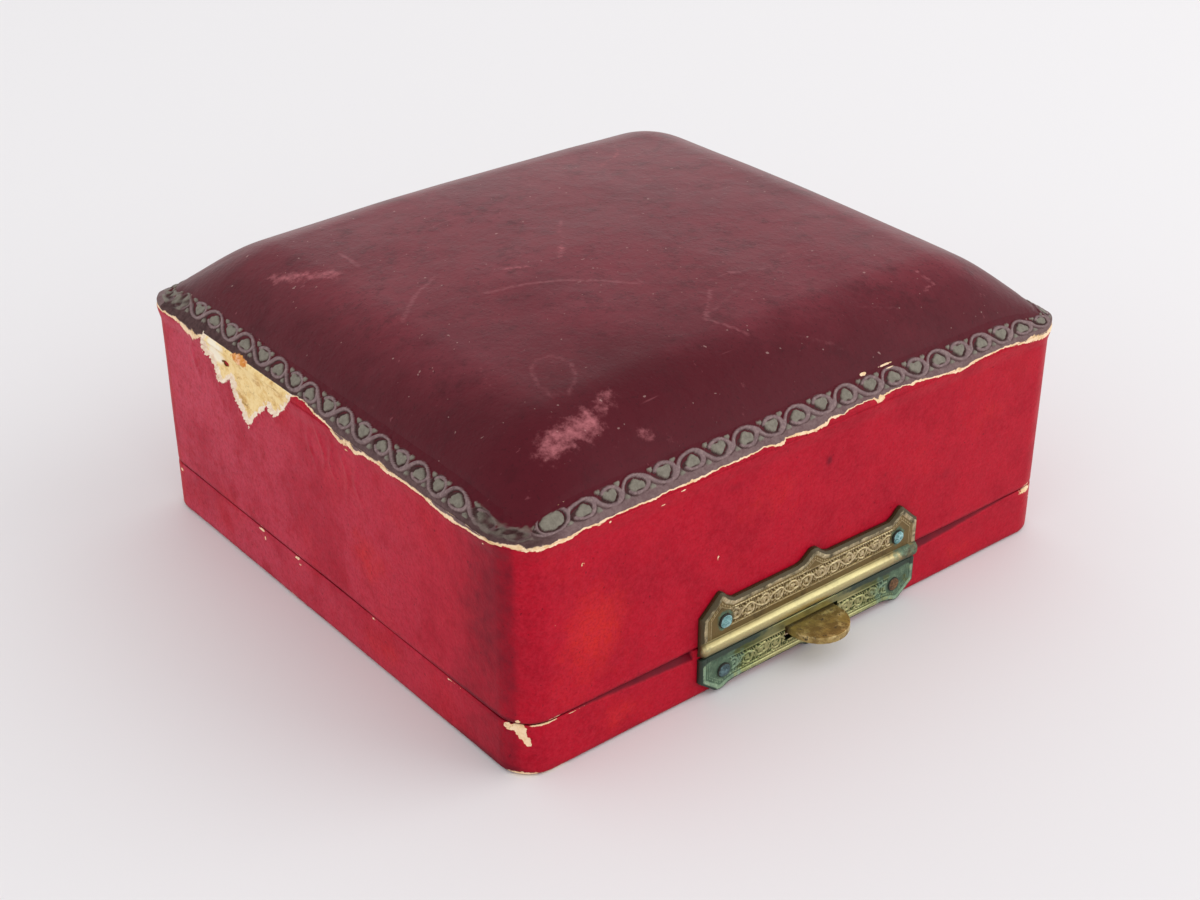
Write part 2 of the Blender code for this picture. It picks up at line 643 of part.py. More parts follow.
def build_catch_fittings(base_rail, lid_rail):
    """The pivot pin, the spring and the keeper, with their seats in the front rails."""
    seat = POCKET_SIDE + PIVOT_SEAT
    half = Vector((seat, 0, 0))
    pin = rod("catch_pin", PIVOT_RADIUS, PIVOT - half, PIVOT + half, FINE_ROUND_STEPS)
    finish(pin, "6B6459", 0.4, 1.0)
    front = FRONT_Y - OVERRUN
    groove = box(
        "pivot_groove", (-seat - FIT_GAP, front, PIVOT.z - PIVOT_BORE),
        (seat + FIT_GAP, PIVOT.y + PIVOT_BORE, PIVOT.z + PIVOT_BORE))
    floor = PIVOT.z - PIVOT_BORE - BOSS_WALL - FIT_GAP
    pocket = box(
        "catch_pocket", (-POCKET_SIDE, front, floor),
        (POCKET_SIDE, KEEPER_BACK + FIT_GAP, BASE_TOP + OVERRUN))
    arm_top = PIVOT.z + ARM_RISE
    spring_back = PIVOT.y - ARM_THICKNESS - FIT_GAP
    spring_top = arm_top - SPRING_TOP_DROP
    spring_low = spring_top - SPRING_HEIGHT
    spring = box(
        "catch_spring", (-SPRING_HALF_LENGTH, spring_back - SPRING_THICKNESS, spring_low),
        (SPRING_HALF_LENGTH, spring_back, spring_top))
    finish(spring, "8E8C86", 0.3, 1.0)
    side = SPRING_HALF_LENGTH + FIT_GAP
    rebate = box(
        "spring_rebate", (-side, front, spring_low - FIT_GAP),
        (side, spring_back + FIT_GAP, spring_top + FIT_GAP))
    combine(base_rail, "DIFFERENCE", as_tool(pocket), as_tool(groove), as_tool(rebate))
    lip_top = arm_top - NOSE_HEIGHT - FIT_GAP
    lip_low = lip_top - KEEPER_LIP
    tang_top = LID_BOTTOM + KEEPER_TANG
    keeper = box(
        "clasp_keeper", (-NOSE_HALF_WIDTH, KEEPER_FRONT, lip_low),
        (NOSE_HALF_WIDTH, KEEPER_BACK, tang_top))
    lip = box(
        "keeper_lip", (-NOSE_HALF_WIDTH, PIVOT.y + FIT_GAP, lip_low),
        (NOSE_HALF_WIDTH, KEEPER_BACK - KEEPER_THICKNESS / 2, lip_top))
    combine(keeper, "UNION", as_tool(lip))
    finish(keeper, "8A7C4A", 0.4, 1.0)
    side = NOSE_HALF_WIDTH + FIT_GAP
    slot = box(
        "keeper_slot", (-side, KEEPER_FRONT - FIT_GAP, LID_BOTTOM - OVERRUN),
        (side, KEEPER_BACK + FIT_GAP, tang_top + FIT_GAP))
    combine(lid_rail, "DIFFERENCE", as_tool(slot))


def on_hinge(name, x, span, radius):
    """A round piece on the hinges' axis, over a span about x."""
    start = HINGE_AXIS + Vector((x + span[0], 0, 0))
    end = HINGE_AXIS + Vector((x + span[1], 0, 0))
    return rod(name, radius, start, end, FINE_ROUND_STEPS)


def leaf_nail(name, x, face, upward, leaf, rail):
    """A countersunk nail through a hinge leaf into its rail, with its head at the face."""
    profile = [
        (0.0, 0.0), (LEAF_NAIL_HEAD, 0.0), (LEAF_NAIL_RADIUS, -LEAF_NAIL_SINK),
        (LEAF_NAIL_RADIUS, -LEAF_NAIL_LENGTH), (0.0, -LEAF_NAIL_LENGTH)]
    place = (x, HINGE_AXIS.y - LEAF_NAIL_INSET, face)
    finish(turned(name, profile, place, (0, 0, upward)), "9A8550", 0.4, 1.0)
    grown = [
        (0.0, OVERRUN), (LEAF_NAIL_HEAD + FIT_GAP, OVERRUN), (LEAF_NAIL_HEAD + FIT_GAP, 0.0),
        (LEAF_NAIL_RADIUS + FIT_GAP, -LEAF_NAIL_SINK),
        (LEAF_NAIL_RADIUS + FIT_GAP, -LEAF_NAIL_LENGTH - FIT_GAP),
        (0.0, -LEAF_NAIL_LENGTH - FIT_GAP)]
    hole = as_tool(turned(name + "_hole", grown, place, (0, 0, upward)))
    combine(leaf, "DIFFERENCE", hole)
    combine(rail, "DIFFERENCE", hole)


def build_hinge(label, x, rails, covers):
    """One butt hinge let into the back rails: two leaves, a pin and four nails."""
    half = HINGE_WIDTH / 2
    centre = CENTRE_KNUCKLE / 2
    spans = {
        "base": ((-half, -centre - KNUCKLE_GAP), (centre + KNUCKLE_GAP, half)),
        "lid": ((-centre, centre),)}
    other = {"base": "lid", "lid": "base"}
    clear = KNUCKLE_RADIUS + FIT_GAP
    past = half + OVERRUN
    finish(on_hinge("hinge_pin_" + label, x, (-half, half), HINGE_PIN_RADIUS), "9A8550", 0.35, 1.0)
    bore = as_tool(on_hinge(
        "hinge_bore_" + label, x, (-past, past), HINGE_PIN_RADIUS + FIT_GAP))
    recess = as_tool(on_hinge(
        "barrel_recess_" + label, x, (-half - FIT_GAP, half + FIT_GAP), clear))
    for body, away in (("base", -1), ("lid", 1)):
        tag = "_%s_%s" % (body, label)
        face = HINGE_AXIS.z + away * PARTING_GAP / 2
        depths = sorted((face, face + away * HINGE_LEAF))
        cut = sorted((face - away * OVERRUN, face + away * (HINGE_LEAF + FIT_GAP)))
        tail = HINGE_AXIS.y - LEAF_LENGTH
        leaf = box(
            "%s_hinge_leaf_%s" % (body, label), (x - half + FIT_GAP, tail, depths[0]),
            (x + half - FIT_GAP, HINGE_AXIS.y - HINGE_PIN_RADIUS, depths[1]))
        mortise = as_tool(box(
            "leaf_mortise" + tag, (x - half, tail - FIT_GAP, cut[0]),
            (x + half, HINGE_AXIS.y + OVERRUN, cut[1])))
        for number, (start, end) in enumerate(spans[other[body]]):
            span = (start - FIT_GAP, end + FIT_GAP)
            room = on_hinge("knuckle_room%s_%d" % (tag, number), x, span, clear)
            combine(leaf, "DIFFERENCE", as_tool(room))
        for number, span in enumerate(spans[body]):
            knuckle = on_hinge("knuckle%s_%d" % (tag, number), x, span, KNUCKLE_RADIUS)
            combine(leaf, "UNION", as_tool(knuckle))
        combine(leaf, "DIFFERENCE", bore)
        combine(rails[body], "DIFFERENCE", mortise, recess)
        combine(covers[body], "DIFFERENCE", mortise, recess)
        finish(leaf, "8C7A45", 0.35, 1.0)
        for side, place in ((-1, "left"), (1, "right")):
            name = "%s_leaf_nail_%s_%s" % (body, label, place)
            leaf_nail(name, x + side * LEAF_NAIL_SPREAD, face, -away, leaf, rails[body])


def hang_lid():
    """Hang the lid's pieces on an empty that lies on the hinges' axis."""
    axis = bpy.data.objects.new("lid_axis", None)
    axis.location = HINGE_AXIS
    PIECES.objects.link(axis)
    for item in PIECES.objects:
        if item.name.startswith("lid_") and item is not axis or item.name in LID_FITTINGS:
            item.parent = axis
            item.location = item.location - axis.location


LID_FITTINGS = (
    "clasp_lid_plate", "clasp_nail_lid_left", "clasp_nail_lid_right", "clasp_keeper")


def build_case():
    """Build the case from the frames outwards."""
    base_rails, lid_rails = build_wooden_frames()
    base_cover, lid_cover = build_coverings()
    build_padded_top()
    build_lid_linings()
    build_seats()
    upper, lower = build_clasp_plates()
    combine(base_cover, "DIFFERENCE", tab_slot("cover_slot"))
    for side, place in ((-1, "left"), (1, "right")):
        x = side * (PLATE_HALF_WIDTH - NAIL_INSET)
        high = PARTING_HEIGHT + UPPER_NAIL_RISE
        low = PARTING_HEIGHT - LOWER_NAIL_DROP
        clasp_nail("clasp_nail_lid_" + place, x, high, upper, lid_cover, lid_rails["front"])
        clasp_nail("clasp_nail_base_" + place, x, low, lower, base_cover, base_rails["front"])
    build_thumb_catch()
    build_catch_fittings(base_rails["front"], lid_rails["front"])
    rails = {"base": base_rails["back"], "lid": lid_rails["back"]}
    covers = {"base": base_cover, "lid": lid_cover}
    for side, label in ((-1, "left"), (1, "right")):
        build_hinge(label, side * (HALF_X - HINGE_INSET), rails, covers)
    hang_lid()


build_case()
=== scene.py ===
# %% [markdown]
# # A padded presentation case for dress buttons
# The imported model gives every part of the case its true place, so this lesson only dresses it:
# leather, torn paper, stamped brass, velvet and silk are built as surfaces round the fixed frame.
# All shapes are worked out in millimetres and turned to metres when they become meshes.

# %% Frame
import json
import math
from contextlib import contextmanager

import bmesh
import bpy
import numpy as np
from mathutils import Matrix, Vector

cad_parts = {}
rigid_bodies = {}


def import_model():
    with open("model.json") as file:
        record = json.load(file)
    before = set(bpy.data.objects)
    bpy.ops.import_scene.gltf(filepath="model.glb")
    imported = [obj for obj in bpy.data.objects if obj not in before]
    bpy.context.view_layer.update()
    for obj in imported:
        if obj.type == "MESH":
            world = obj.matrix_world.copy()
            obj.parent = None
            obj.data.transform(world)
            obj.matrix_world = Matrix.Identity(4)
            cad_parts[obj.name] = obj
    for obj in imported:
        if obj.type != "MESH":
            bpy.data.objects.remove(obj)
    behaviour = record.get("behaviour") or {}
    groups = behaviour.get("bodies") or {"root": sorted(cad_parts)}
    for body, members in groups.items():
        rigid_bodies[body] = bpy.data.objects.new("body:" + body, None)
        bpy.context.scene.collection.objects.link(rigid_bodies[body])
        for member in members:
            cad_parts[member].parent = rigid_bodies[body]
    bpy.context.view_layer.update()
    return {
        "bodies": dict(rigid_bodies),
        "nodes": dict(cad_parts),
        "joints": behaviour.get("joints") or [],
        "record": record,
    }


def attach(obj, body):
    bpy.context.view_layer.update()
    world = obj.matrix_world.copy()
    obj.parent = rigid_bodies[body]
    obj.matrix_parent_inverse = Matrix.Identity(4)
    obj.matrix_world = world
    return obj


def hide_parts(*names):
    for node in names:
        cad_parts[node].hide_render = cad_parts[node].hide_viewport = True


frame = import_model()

# %% [markdown]
# ## Camera
# The case is seen from above its near corner, with a long lens that keeps its edges nearly
# parallel. The place and lens come from fitting the case's corners to the picture.

# %% Camera
EYE = Vector((-0.16072, -0.19782, 0.15667))
AIM = Vector((-0.01302, -0.01598, 0.02223))
FULL_FRAME, FOCAL_LENGTH = 36.0, 59.04


def add_object(name, data):
    """Make an object for a mesh, a lamp or a camera, and put it in the scene."""
    item = bpy.data.objects.new(name, data)
    bpy.context.scene.collection.objects.link(item)
    return item


def stand(item, place, aim):
    """Put a camera or a lamp at a place and turn it towards another."""
    item.location = place
    item.rotation_euler = (aim - place).to_track_quat("-Z", "Y").to_euler()


lens = bpy.data.cameras.new("corner_view")
lens.sensor_width = FULL_FRAME
lens.lens = FOCAL_LENGTH
camera = add_object("corner_view", lens)
stand(camera, EYE, AIM)
bpy.context.scene.camera = camera
bpy.context.scene.view_settings.view_transform = "Standard"
print("camera stands", round((AIM - EYE).length * 1000), "mm away")

# %% [markdown]
# ## Colours and nodes
# Colours are written as hex values, as a painter would pick them from a chart. A shader works
# in linear light, so one function turns them. A second small function adds a node to a
# material, with its settings and what feeds it, which keeps each recipe readable.

# %% Colours and nodes
def linear(hex_colour):
    """Turn an sRGB hex colour into linear red, green, blue and a full alpha."""
    values = [int(hex_colour[start:start + 2], 16) / 255 for start in (0, 2, 4)]
    turned = [v / 12.92 if v <= 0.04045 else ((v + 0.055) / 1.055) ** 2.4 for v in values]
    return (*turned, 1.0)


def node(tree, kind, feeds=None, **settings):
    """Add a node, set its options, and link or set its inputs."""
    made = tree.nodes.new("ShaderNode" + kind)
    for option, value in settings.items():
        setattr(made, option, value)
    for socket, feed in (feeds or {}).items():
        if isinstance(feed, bpy.types.NodeSocket):
            tree.links.new(feed, made.inputs[socket])
        elif isinstance(feed, str):
            made.inputs[socket].default_value = linear(feed)
        else:
            made.inputs[socket].default_value = feed
    return made


# %% [markdown]
# ## Floor and light
# The case stands on a pale seamless table, bright enough to read as nearly white. The room
# gives most of the light, a little more from low down than from above, and one large soft lamp
# stands in for a window. Both stay at a plain level, so each finish shows its own colour.

# %% Floor and light
FLOOR_SIZE, FLOOR_LEVEL = 5.0, -0.0001
LOW_LIGHT, HIGH_LIGHT = 1.5, 0.93
WINDOW, MIDDLE = Vector((0.60, -0.52, 0.46)), Vector((0.0, 0.0, 0.02))

bpy.ops.mesh.primitive_plane_add(size=FLOOR_SIZE, location=(0.0, 0.0, FLOOR_LEVEL))
floor = bpy.context.object
floor.name = "pale_table"
paper = bpy.data.materials.new("white_table_paper")
paper.use_nodes = True
paper_shader = paper.node_tree.nodes["Principled BSDF"]
paper_shader.inputs["Base Color"].default_value = linear("E9E7E8")
paper_shader.inputs["Roughness"].default_value = 0.9
paper_shader.inputs["Specular IOR Level"].default_value = 0.2
floor.data.materials.append(paper)

sky = bpy.data.worlds.new("pale_room")
sky.use_nodes = True
bpy.context.scene.world = sky
room_light = sky.node_tree.nodes["Background"]
room_light.inputs["Color"].default_value = linear("F4F4F5")
direction = node(sky.node_tree, "TexCoord").outputs["Generated"]
upward = node(sky.node_tree, "SeparateXYZ", {0: direction}).outputs["Z"]
dimming = node(sky.node_tree, "MapRange", {
    "Value": upward, "From Min": 0.10, "From Max": 0.80, "To Min": LOW_LIGHT,
    "To Max": HIGH_LIGHT}, interpolation_type="SMOOTHSTEP").outputs["Result"]
sky.node_tree.links.new(dimming, room_light.inputs["Strength"])

window = bpy.data.lights.new("window_lamp", "AREA")
window.shape = "SQUARE"
window.size = 0.80
window.energy = 2.6
stand(add_object("window_lamp", window), WINDOW, MIDDLE)

# %% [markdown]
# ## The case's measurements
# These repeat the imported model's own measurements, in millimetres. The walls follow a rectangle
# with round corners. Any point of it is a core point plus a corner radius along the outward
# normal, so an inset only shortens that radius and the corners stay round. FAR is the depth
# of a place well outside a shape, and points closer than JOINED are taken for one.

# %% Measurements
MM = 0.001
JOINED = 0.002 * MM
FAR = -9.0
HALF_X, HALF_Y = 48.5, 44.5
CORNER = 4.8
RIM = 33.5
OVERHANG = 0.5
LID_BOTTOM, BASE_TOP = 7.9, 7.6
PARTING = (LID_BOTTOM + BASE_TOP) / 2
COVER = 0.6
ROLL_WIDTH, ROLL_RISE, CROWN_RISE, EDGE_BAND = 15.3, 8.5, 3.0, 0.6

FRONT_RUN = 2 * (HALF_X - CORNER)
SIDE_RUN = 2 * (HALF_Y - CORNER)
ARC = CORNER * math.pi / 2
RUNS = np.array([FRONT_RUN, ARC, SIDE_RUN, ARC, FRONT_RUN, ARC, SIDE_RUN, ARC])
STATIONS = np.concatenate(([0.0], np.cumsum(RUNS)))
AROUND = STATIONS[-1]
LEFT_START = STATIONS[6]
CORE_X = np.array([-1, 1, 1, 1, 1, -1, -1, -1, -1]) * (HALF_X - CORNER)
CORE_Y = np.array([-1, -1, -1, 1, 1, 1, 1, -1, -1]) * (HALF_Y - CORNER)
TURN = np.radians([-90, -90, 0, 0, 90, 90, 180, 180, 270])


def along_front(x):
    """Distance round the wall of a place on the front, from its x."""
    return (x + HALF_X - CORNER) % AROUND


def along_left(y):
    """Distance round the wall of a place on the left side, from its y."""
    return LEFT_START + HALF_Y - CORNER - y


def along_right(y):
    """Distance round the wall of a place on the right side, from its y."""
    return STATIONS[2] + HALF_Y - CORNER + y


def wall_point(t, inset):
    """Place on the wall at a distance round it: core point plus what is left of the radius."""
    turn = np.interp(t, STATIONS, TURN)
    x = np.interp(t, STATIONS, CORE_X) + (CORNER - inset) * np.cos(turn)
    y = np.interp(t, STATIONS, CORE_Y) + (CORNER - inset) * np.sin(turn)
    return x, y


def round_gap(t, centre):
    """Signed distance round the wall from a place, the short way."""
    return (t - centre + AROUND / 2) % AROUND - AROUND / 2


def on_left_side(x):
    """Whether a place of the wall, given by its x, lies on the straight left side."""
    return x < -HALF_X + 0.01


def smooth_step(value, low, high):
    """Rise from 0 to 1 between two values, level at both ends: 3s squared less 2s cubed."""
    share = np.clip((value - low) / (high - low), 0, 1)
    return share * share * (3 - 2 * share)


def between(value, rise, full, fall, end):
    """1 between two places, with soft ends: up from rise to full, and down from fall to end."""
    return smooth_step(value, rise, full) * (1 - smooth_step(value, fall, end))


def waves(seed, *places, size, count=9):
    """Soft unevenness from 1 to -1: the mean of sine waves in random directions."""
    draw = np.random.default_rng(seed)
    total = 0.0
    for _ in range(count):
        lengths = size * draw.uniform(0.6, 1.8)
        direction = draw.normal(size=len(places))
        direction /= np.linalg.norm(direction)
        phase = draw.uniform(0, 2 * math.pi)
        reach = sum(place * part for place, part in zip(places, direction))
        total = total + np.sin(2 * math.pi * reach / lengths + phase)
    return total / math.sqrt(count) / 1.5


print("the wall is", round(AROUND, 1), "mm round")

# %% [markdown]
# ## From a grid of points to a mesh
# Every new piece is a surface of two parameters: rows and columns of points. One function joins
# the grid into quads with whole arrays. Where a direction is closed, its last line joins its
# first. A closed piece is turned so that its faces look outwards, which its volume tells.
# Numbers on the points, the features, tell the material where it is worn, torn or dark.

# %% Grid to mesh
def grid_of(x, y, z):
    """Rows and columns of points from their three coordinates, each spread to one shape."""
    return np.stack(np.broadcast_arrays(x, y, z), axis=-1)


def faces_of_grid(rows, columns, closed_rows, closed_columns):
    """Corner numbers of the quads between neighbouring grid lines."""
    index = np.arange(rows * columns).reshape(rows, columns)
    if closed_rows:
        index = np.vstack((index, index[:1]))
    if closed_columns:
        index = np.hstack((index, index[:, :1]))
    quads = (index[:-1, :-1], index[:-1, 1:], index[1:, 1:], index[1:, :-1])
    return np.stack(quads, axis=-1).reshape(-1, 4)


def six_volumes(points, quads):
    """Six times the volume inside the quads: the sum of each corner's triple product."""
    a, b, c, d = (points[quads[:, corner]] for corner in range(4))
    first = np.einsum("ij,ij->i", a, np.cross(b, c)).sum()
    second = np.einsum("ij,ij->i", a, np.cross(c, d)).sum()
    return first + second


def surface(name, grid, closed=(False, False), capped=False, turned=None, **features):
    """Make a mesh from rows and columns of points in millimetres, with a number per point.

    closed says whether rows and columns join up; capped closes the two end rows with a face;
    turned fixes the side that an open sheet faces, and a closed one finds it by its volume.
    """
    rows, columns = grid.shape[:2]
    points = grid.reshape(-1, 3)
    quads = faces_of_grid(rows, columns, *closed)
    if turned is None:
        turned = six_volumes(points - points.mean(axis=0), quads) < 0
    if turned:
        quads = quads[:, ::-1]
    loops = [quads.ravel()]
    starts = [np.arange(0, quads.size, 4)]
    if capped:
        ring = np.arange(columns)
        ends = (ring, ring[::-1] + (rows - 1) * columns)
        for end in (ends[0][::-1], ends[1][::-1]) if not turned else ends:
            starts.append([sum(len(part) for part in loops)])
            loops.append(end)
    loops, starts = np.concatenate(loops), np.concatenate(starts)
    mesh = bpy.data.meshes.new(name)
    mesh.vertices.add(len(points))
    mesh.vertices.foreach_set("co", (points * MM).ravel())
    mesh.loops.add(len(loops))
    mesh.loops.foreach_set("vertex_index", loops.astype(np.int32))
    mesh.polygons.add(len(starts))
    mesh.polygons.foreach_set("loop_start", starts.astype(np.int32))
    mesh.polygons.foreach_set("use_smooth", np.ones(len(starts), dtype=bool))
    for feature, values in features.items():
        layer = mesh.attributes.new(feature, "FLOAT", "POINT")
        spread = np.broadcast_to(values, (rows, columns)).astype(np.float32)
        layer.data.foreach_set("value", spread.ravel())
    mesh.update(calc_edges=True)
    print(name, len(mesh.polygons), "faces")
    return add_object(name, mesh)


def wall(name, outer, inner, fills, **features):
    """A closed wall: outer rows that carry the features, and plain inner rows.

    On the inner rows a feature is 0, or the number that fills gives for it.
    """
    blank = np.zeros(inner.shape[:2])
    joined = {key: np.vstack((values, blank + fills.get(key, 0.0)))
              for key, values in features.items()}
    return surface(name, np.concatenate((outer, inner)), closed=(True, True), **joined)


@contextmanager
def reshaped(mesh):
    """Open a mesh for editing by hand, and put the result back at the end."""
    shape = bmesh.new()
    shape.from_mesh(mesh)
    yield shape
    shape.to_mesh(mesh)
    shape.free()


def dress(item, material, slot, body, *nodes):
    """Give a finished piece its material, its body and the nodes that it replaces. The slot is
    not used.
    """
    item.data.materials.clear()
    item.data.materials.append(material)
    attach(item, body)
    if nodes:
        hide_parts(*nodes)
    return item


def thicken(item, name, thickness):
    """Give an open sheet a thickness in millimetres behind its face."""
    skin = item.modifiers.new(name, "SOLIDIFY")
    skin.thickness = thickness * MM
    skin.offset = -1.0


def polyline_distance(points, path):
    """Least distance from each point to the straight pieces of a path."""
    start, end = path[:-1], path[1:]
    run = end - start
    past = points[:, None, :] - start
    share = np.clip((past * run).sum(-1) / (run ** 2).sum(-1), 0, 1)
    gap = past - share[..., None] * run
    return np.sqrt((gap ** 2).sum(-1)).min(axis=1)


# %% [markdown]
# ## The scroll pattern
# The rim is tooled with a running vine: a wave of stem that arches over one leaf and passes
# under the next, with a curl that closes round each leaf and buds in the corners. A hot brass
# wheel rolled it into the damp leather. Its pattern is worked out once, for one turn of two
# leaves, as distances to curves, and is then looked up wherever the wheel passed.

# %% Scroll pattern
TURN_LENGTH = 8.69
VINE_HALF = 1.5
VINE_STRETCH = 1.42
PATTERN_STEP = 0.03


def vine_paths(length, swing, ring, drop):
    """Stem and curls over one turn.

    The stem is a cosine wave, with its loops fattened by a sine of twice the angle and leant
    by a cosine. A curl leaves each loop on its right and closes round the leaf on a shrinking
    spiral. Gives the stem, the curl of an upper loop and that of a lower one.
    """
    angle = np.linspace(-math.pi, 3 * math.pi, 241)
    along = length * angle / (2 * math.pi) + 0.16 * np.sin(2 * angle) - 0.10 * np.cos(angle)
    stem = np.stack((along, swing * np.cos(angle)), axis=1)
    bend = np.radians(np.linspace(58, -150, 48))
    radius = ring * np.linspace(1.16, 0.92, 48)
    curl = np.stack((radius * np.cos(bend), radius * np.sin(bend) - drop), axis=1)
    glide = curl * (1, -1) + (length / 2, 0)
    return stem, curl, glide


def ivy_leaf(a, b):
    """Signed depth inside a leaf of unit reach with three broad lobes and two small ones."""
    angle = np.arctan2(b, a) - math.pi / 2
    reach = 0.86 + 0.11 * np.cos(3 * angle) + 0.05 * np.cos(5 * angle)
    return reach - np.hypot(a, b)


def vine_pattern(length, half, swing=1.22, drop=0.14, ring=1.02, leaf=0.90, bud=0.36):
    """One turn of the vine: distance to a stem, depth in a leaf or bud, and depth in a ring."""
    a = np.arange(0, length, PATTERN_STEP)
    b = np.arange(-half, half + PATTERN_STEP, PATTERN_STEP)
    grid_a, grid_b = np.meshgrid(a, b, indexing="ij")
    points = np.stack((grid_a.ravel(), grid_b.ravel()), axis=1)
    stem, curl, glide = vine_paths(length, swing, ring, drop)
    lines = [polyline_distance(points, stem)]
    for path in (curl, glide):
        lines += [polyline_distance(points, path + (shift * length, 0)) for shift in (-1, 0, 1)]
    stems = np.min(lines, axis=0).reshape(grid_a.shape)
    leaves, rings = np.full(grid_a.shape, FAR), np.full(grid_a.shape, FAR)
    top = swing * 0.84
    for place, height, size in (
            (0.0, -drop, leaf), (0.5, drop, leaf),
            (0.30, top, bud), (0.70, top, bud), (0.77, -top, bud), (0.23, -top, bud)):
        across = (grid_a - place * length + length / 2) % length - length / 2
        sign = 1 if height < 0 else -1
        shape = ivy_leaf(across / size, sign * (grid_b - height) / size) * size
        leaves = np.maximum(leaves, shape)
        if size == leaf:
            rings = np.maximum(rings, 1.28 * ring - np.hypot(across + 0.12, grid_b - height))
    return stems, leaves, rings


def look_up(pattern, turns, height, half):
    """Read a pattern between its grid points, round and round along its length."""
    rows, columns = pattern.shape
    place = (turns % 1) * rows
    level = np.clip((height + half) / (2 * half), 0, 1) * (columns - 1.001)
    row, column = place.astype(int), level.astype(int)
    part, rise = place - row, level - column
    near = pattern[row % rows, column] * (1 - rise) + pattern[row % rows, column + 1] * rise
    far_row = (row + 1) % rows
    far = pattern[far_row, column] * (1 - rise) + pattern[far_row, column + 1] * rise
    return near * (1 - part) + far * part


VINE = vine_pattern(TURN_LENGTH / VINE_STRETCH, VINE_HALF)
print("vine pattern of", VINE[0].shape, "places")

# %% [markdown]
# ## The domed top's shape
# The lid's leather is stretched over wadding: a steep roll at each edge, a low crown in the
# middle and a short upright band at the rim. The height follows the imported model. Distances
# up the slope are needed to lay the tooled border on it, so they are measured from a section.

# %% Domed top's shape
def edge_roll(distance):
    """A roll that starts steep and levels out: one less the square of what is left."""
    return 1 - (1 - np.clip(distance / ROLL_WIDTH, 0, 1)) ** 2


def top_height(x, y):
    """Height of the padded top: its band, the product of two edge rolls, and a low crown."""
    half_x, half_y = HALF_X + OVERHANG, HALF_Y + OVERHANG
    rolls = edge_roll(half_x - np.abs(x)) * edge_roll(half_y - np.abs(y))
    crown = (1 - (x / half_x) ** 2) * (1 - (y / half_y) ** 2)
    return RIM + EDGE_BAND + ROLL_RISE * rolls + CROWN_RISE * crown


def from_rim(x, y):
    """Distance in from the rim's rounded outline."""
    far_x = np.abs(x) - (HALF_X - CORNER)
    far_y = np.abs(y) - (HALF_Y - CORNER)
    outside = np.hypot(np.maximum(far_x, 0), np.maximum(far_y, 0))
    return CORNER + OVERHANG - outside - np.minimum(np.maximum(far_x, far_y), 0)


INSETS = np.linspace(0.0, 8.0, 801)
SECTION = top_height(0.0, -(HALF_Y + OVERHANG) + INSETS)
SLOPES = np.concatenate(([0.0], np.cumsum(np.hypot(np.diff(INSETS), np.diff(SECTION)))))
SLOPES = SLOPES + EDGE_BAND
BORDER_TOP = 5.20
SUNK = 0.32
print("3 mm in from the rim is", round(float(np.interp(3.0, INSETS, SLOPES)), 2), "mm up")

# %% [markdown]
# ## The rim's torn edge
# The side's red paper was turned over the rim and cut off under the tooled border. Its edge has
# frayed, so a pale line wanders along the rim: low at the near corner, high in the middle of
# the front, thick and torn on the left. Each knot is a place on a side, the line's lower edge
# over the rim's foot and its width. One function then says where any height lies across it.

# %% Torn edge
FRONT_EDGE = (
    (-46, -0.3, 0.7), (-44.5, -0.3, 0.7), (-42, -0.3, 0.75), (-41, -0.4, 0.8),
    (-40.2, -0.2, 0.6), (-39, 0.2, 0.3), (-37.5, 0.1, 0.4), (-36.5, -0.15, 0.55),
    (-35.5, 0.1, 0.4), (-34, 0.3, 0.2), (-32, 0.2, 0.35), (-30, 0.2, 0.35), (-28, 0.05, 0.45),
    (-26, 0.35, 0.25), (-24, 0.3, 0.4), (-21.5, 0.2, 0.5), (-20, 0.3, 0.45), (-18, 0.5, 0.3),
    (-17, 0.6, 0.25), (-15, 0.5, 0.35), (-13, 0.45, 0.4), (-11, 0.6, 0.25), (-10, 0.85, 0.12),
    (-8.6, 0.55, 0.35), (-8, 0.2, 0.8), (-6.5, 0.0, 0.9), (-6.1, 0.8, 0.3), (-4, 0.45, 0.65),
    (-2, 0.1, 0.5), (-0.6, -0.1, 0.7), (0, 0.1, 0.6), (1.2, 0.1, 0.9), (1.5, 0.7, 0.4),
    (2, 0.9, 0.2), (2.5, 0.7, 0.5), (4.5, 0.7, 0.4), (5.5, 1.0, 0.2), (7, 1.1, 0.15),
    (9.8, 1.1, 0.15), (10.4, 0.2, 1.1), (11.3, 0.25, 1.0), (11.9, 0.9, 0.3), (13, 1.0, 0.3),
    (14, 1.1, 0.2), (16, 1.1, 0.12), (17, 0.6, 0.5), (18, 0.8, 0.4), (20, 0.6, 0.3),
    (22, 0.1, 0.5), (23, 0.1, 0.4), (25, -0.2, 0.5), (26.6, -0.5, 0.8), (28, -0.2, 0.6),
    (30, 0.1, 0.4), (32, 0.2, 0.4), (35, 0.3, 0.3), (37, 0.0, 0.5), (39, -0.2, 0.5),
    (40.5, -0.6, 1.0), (42, -0.7, 1.0), (43.6, -0.9, 1.3))
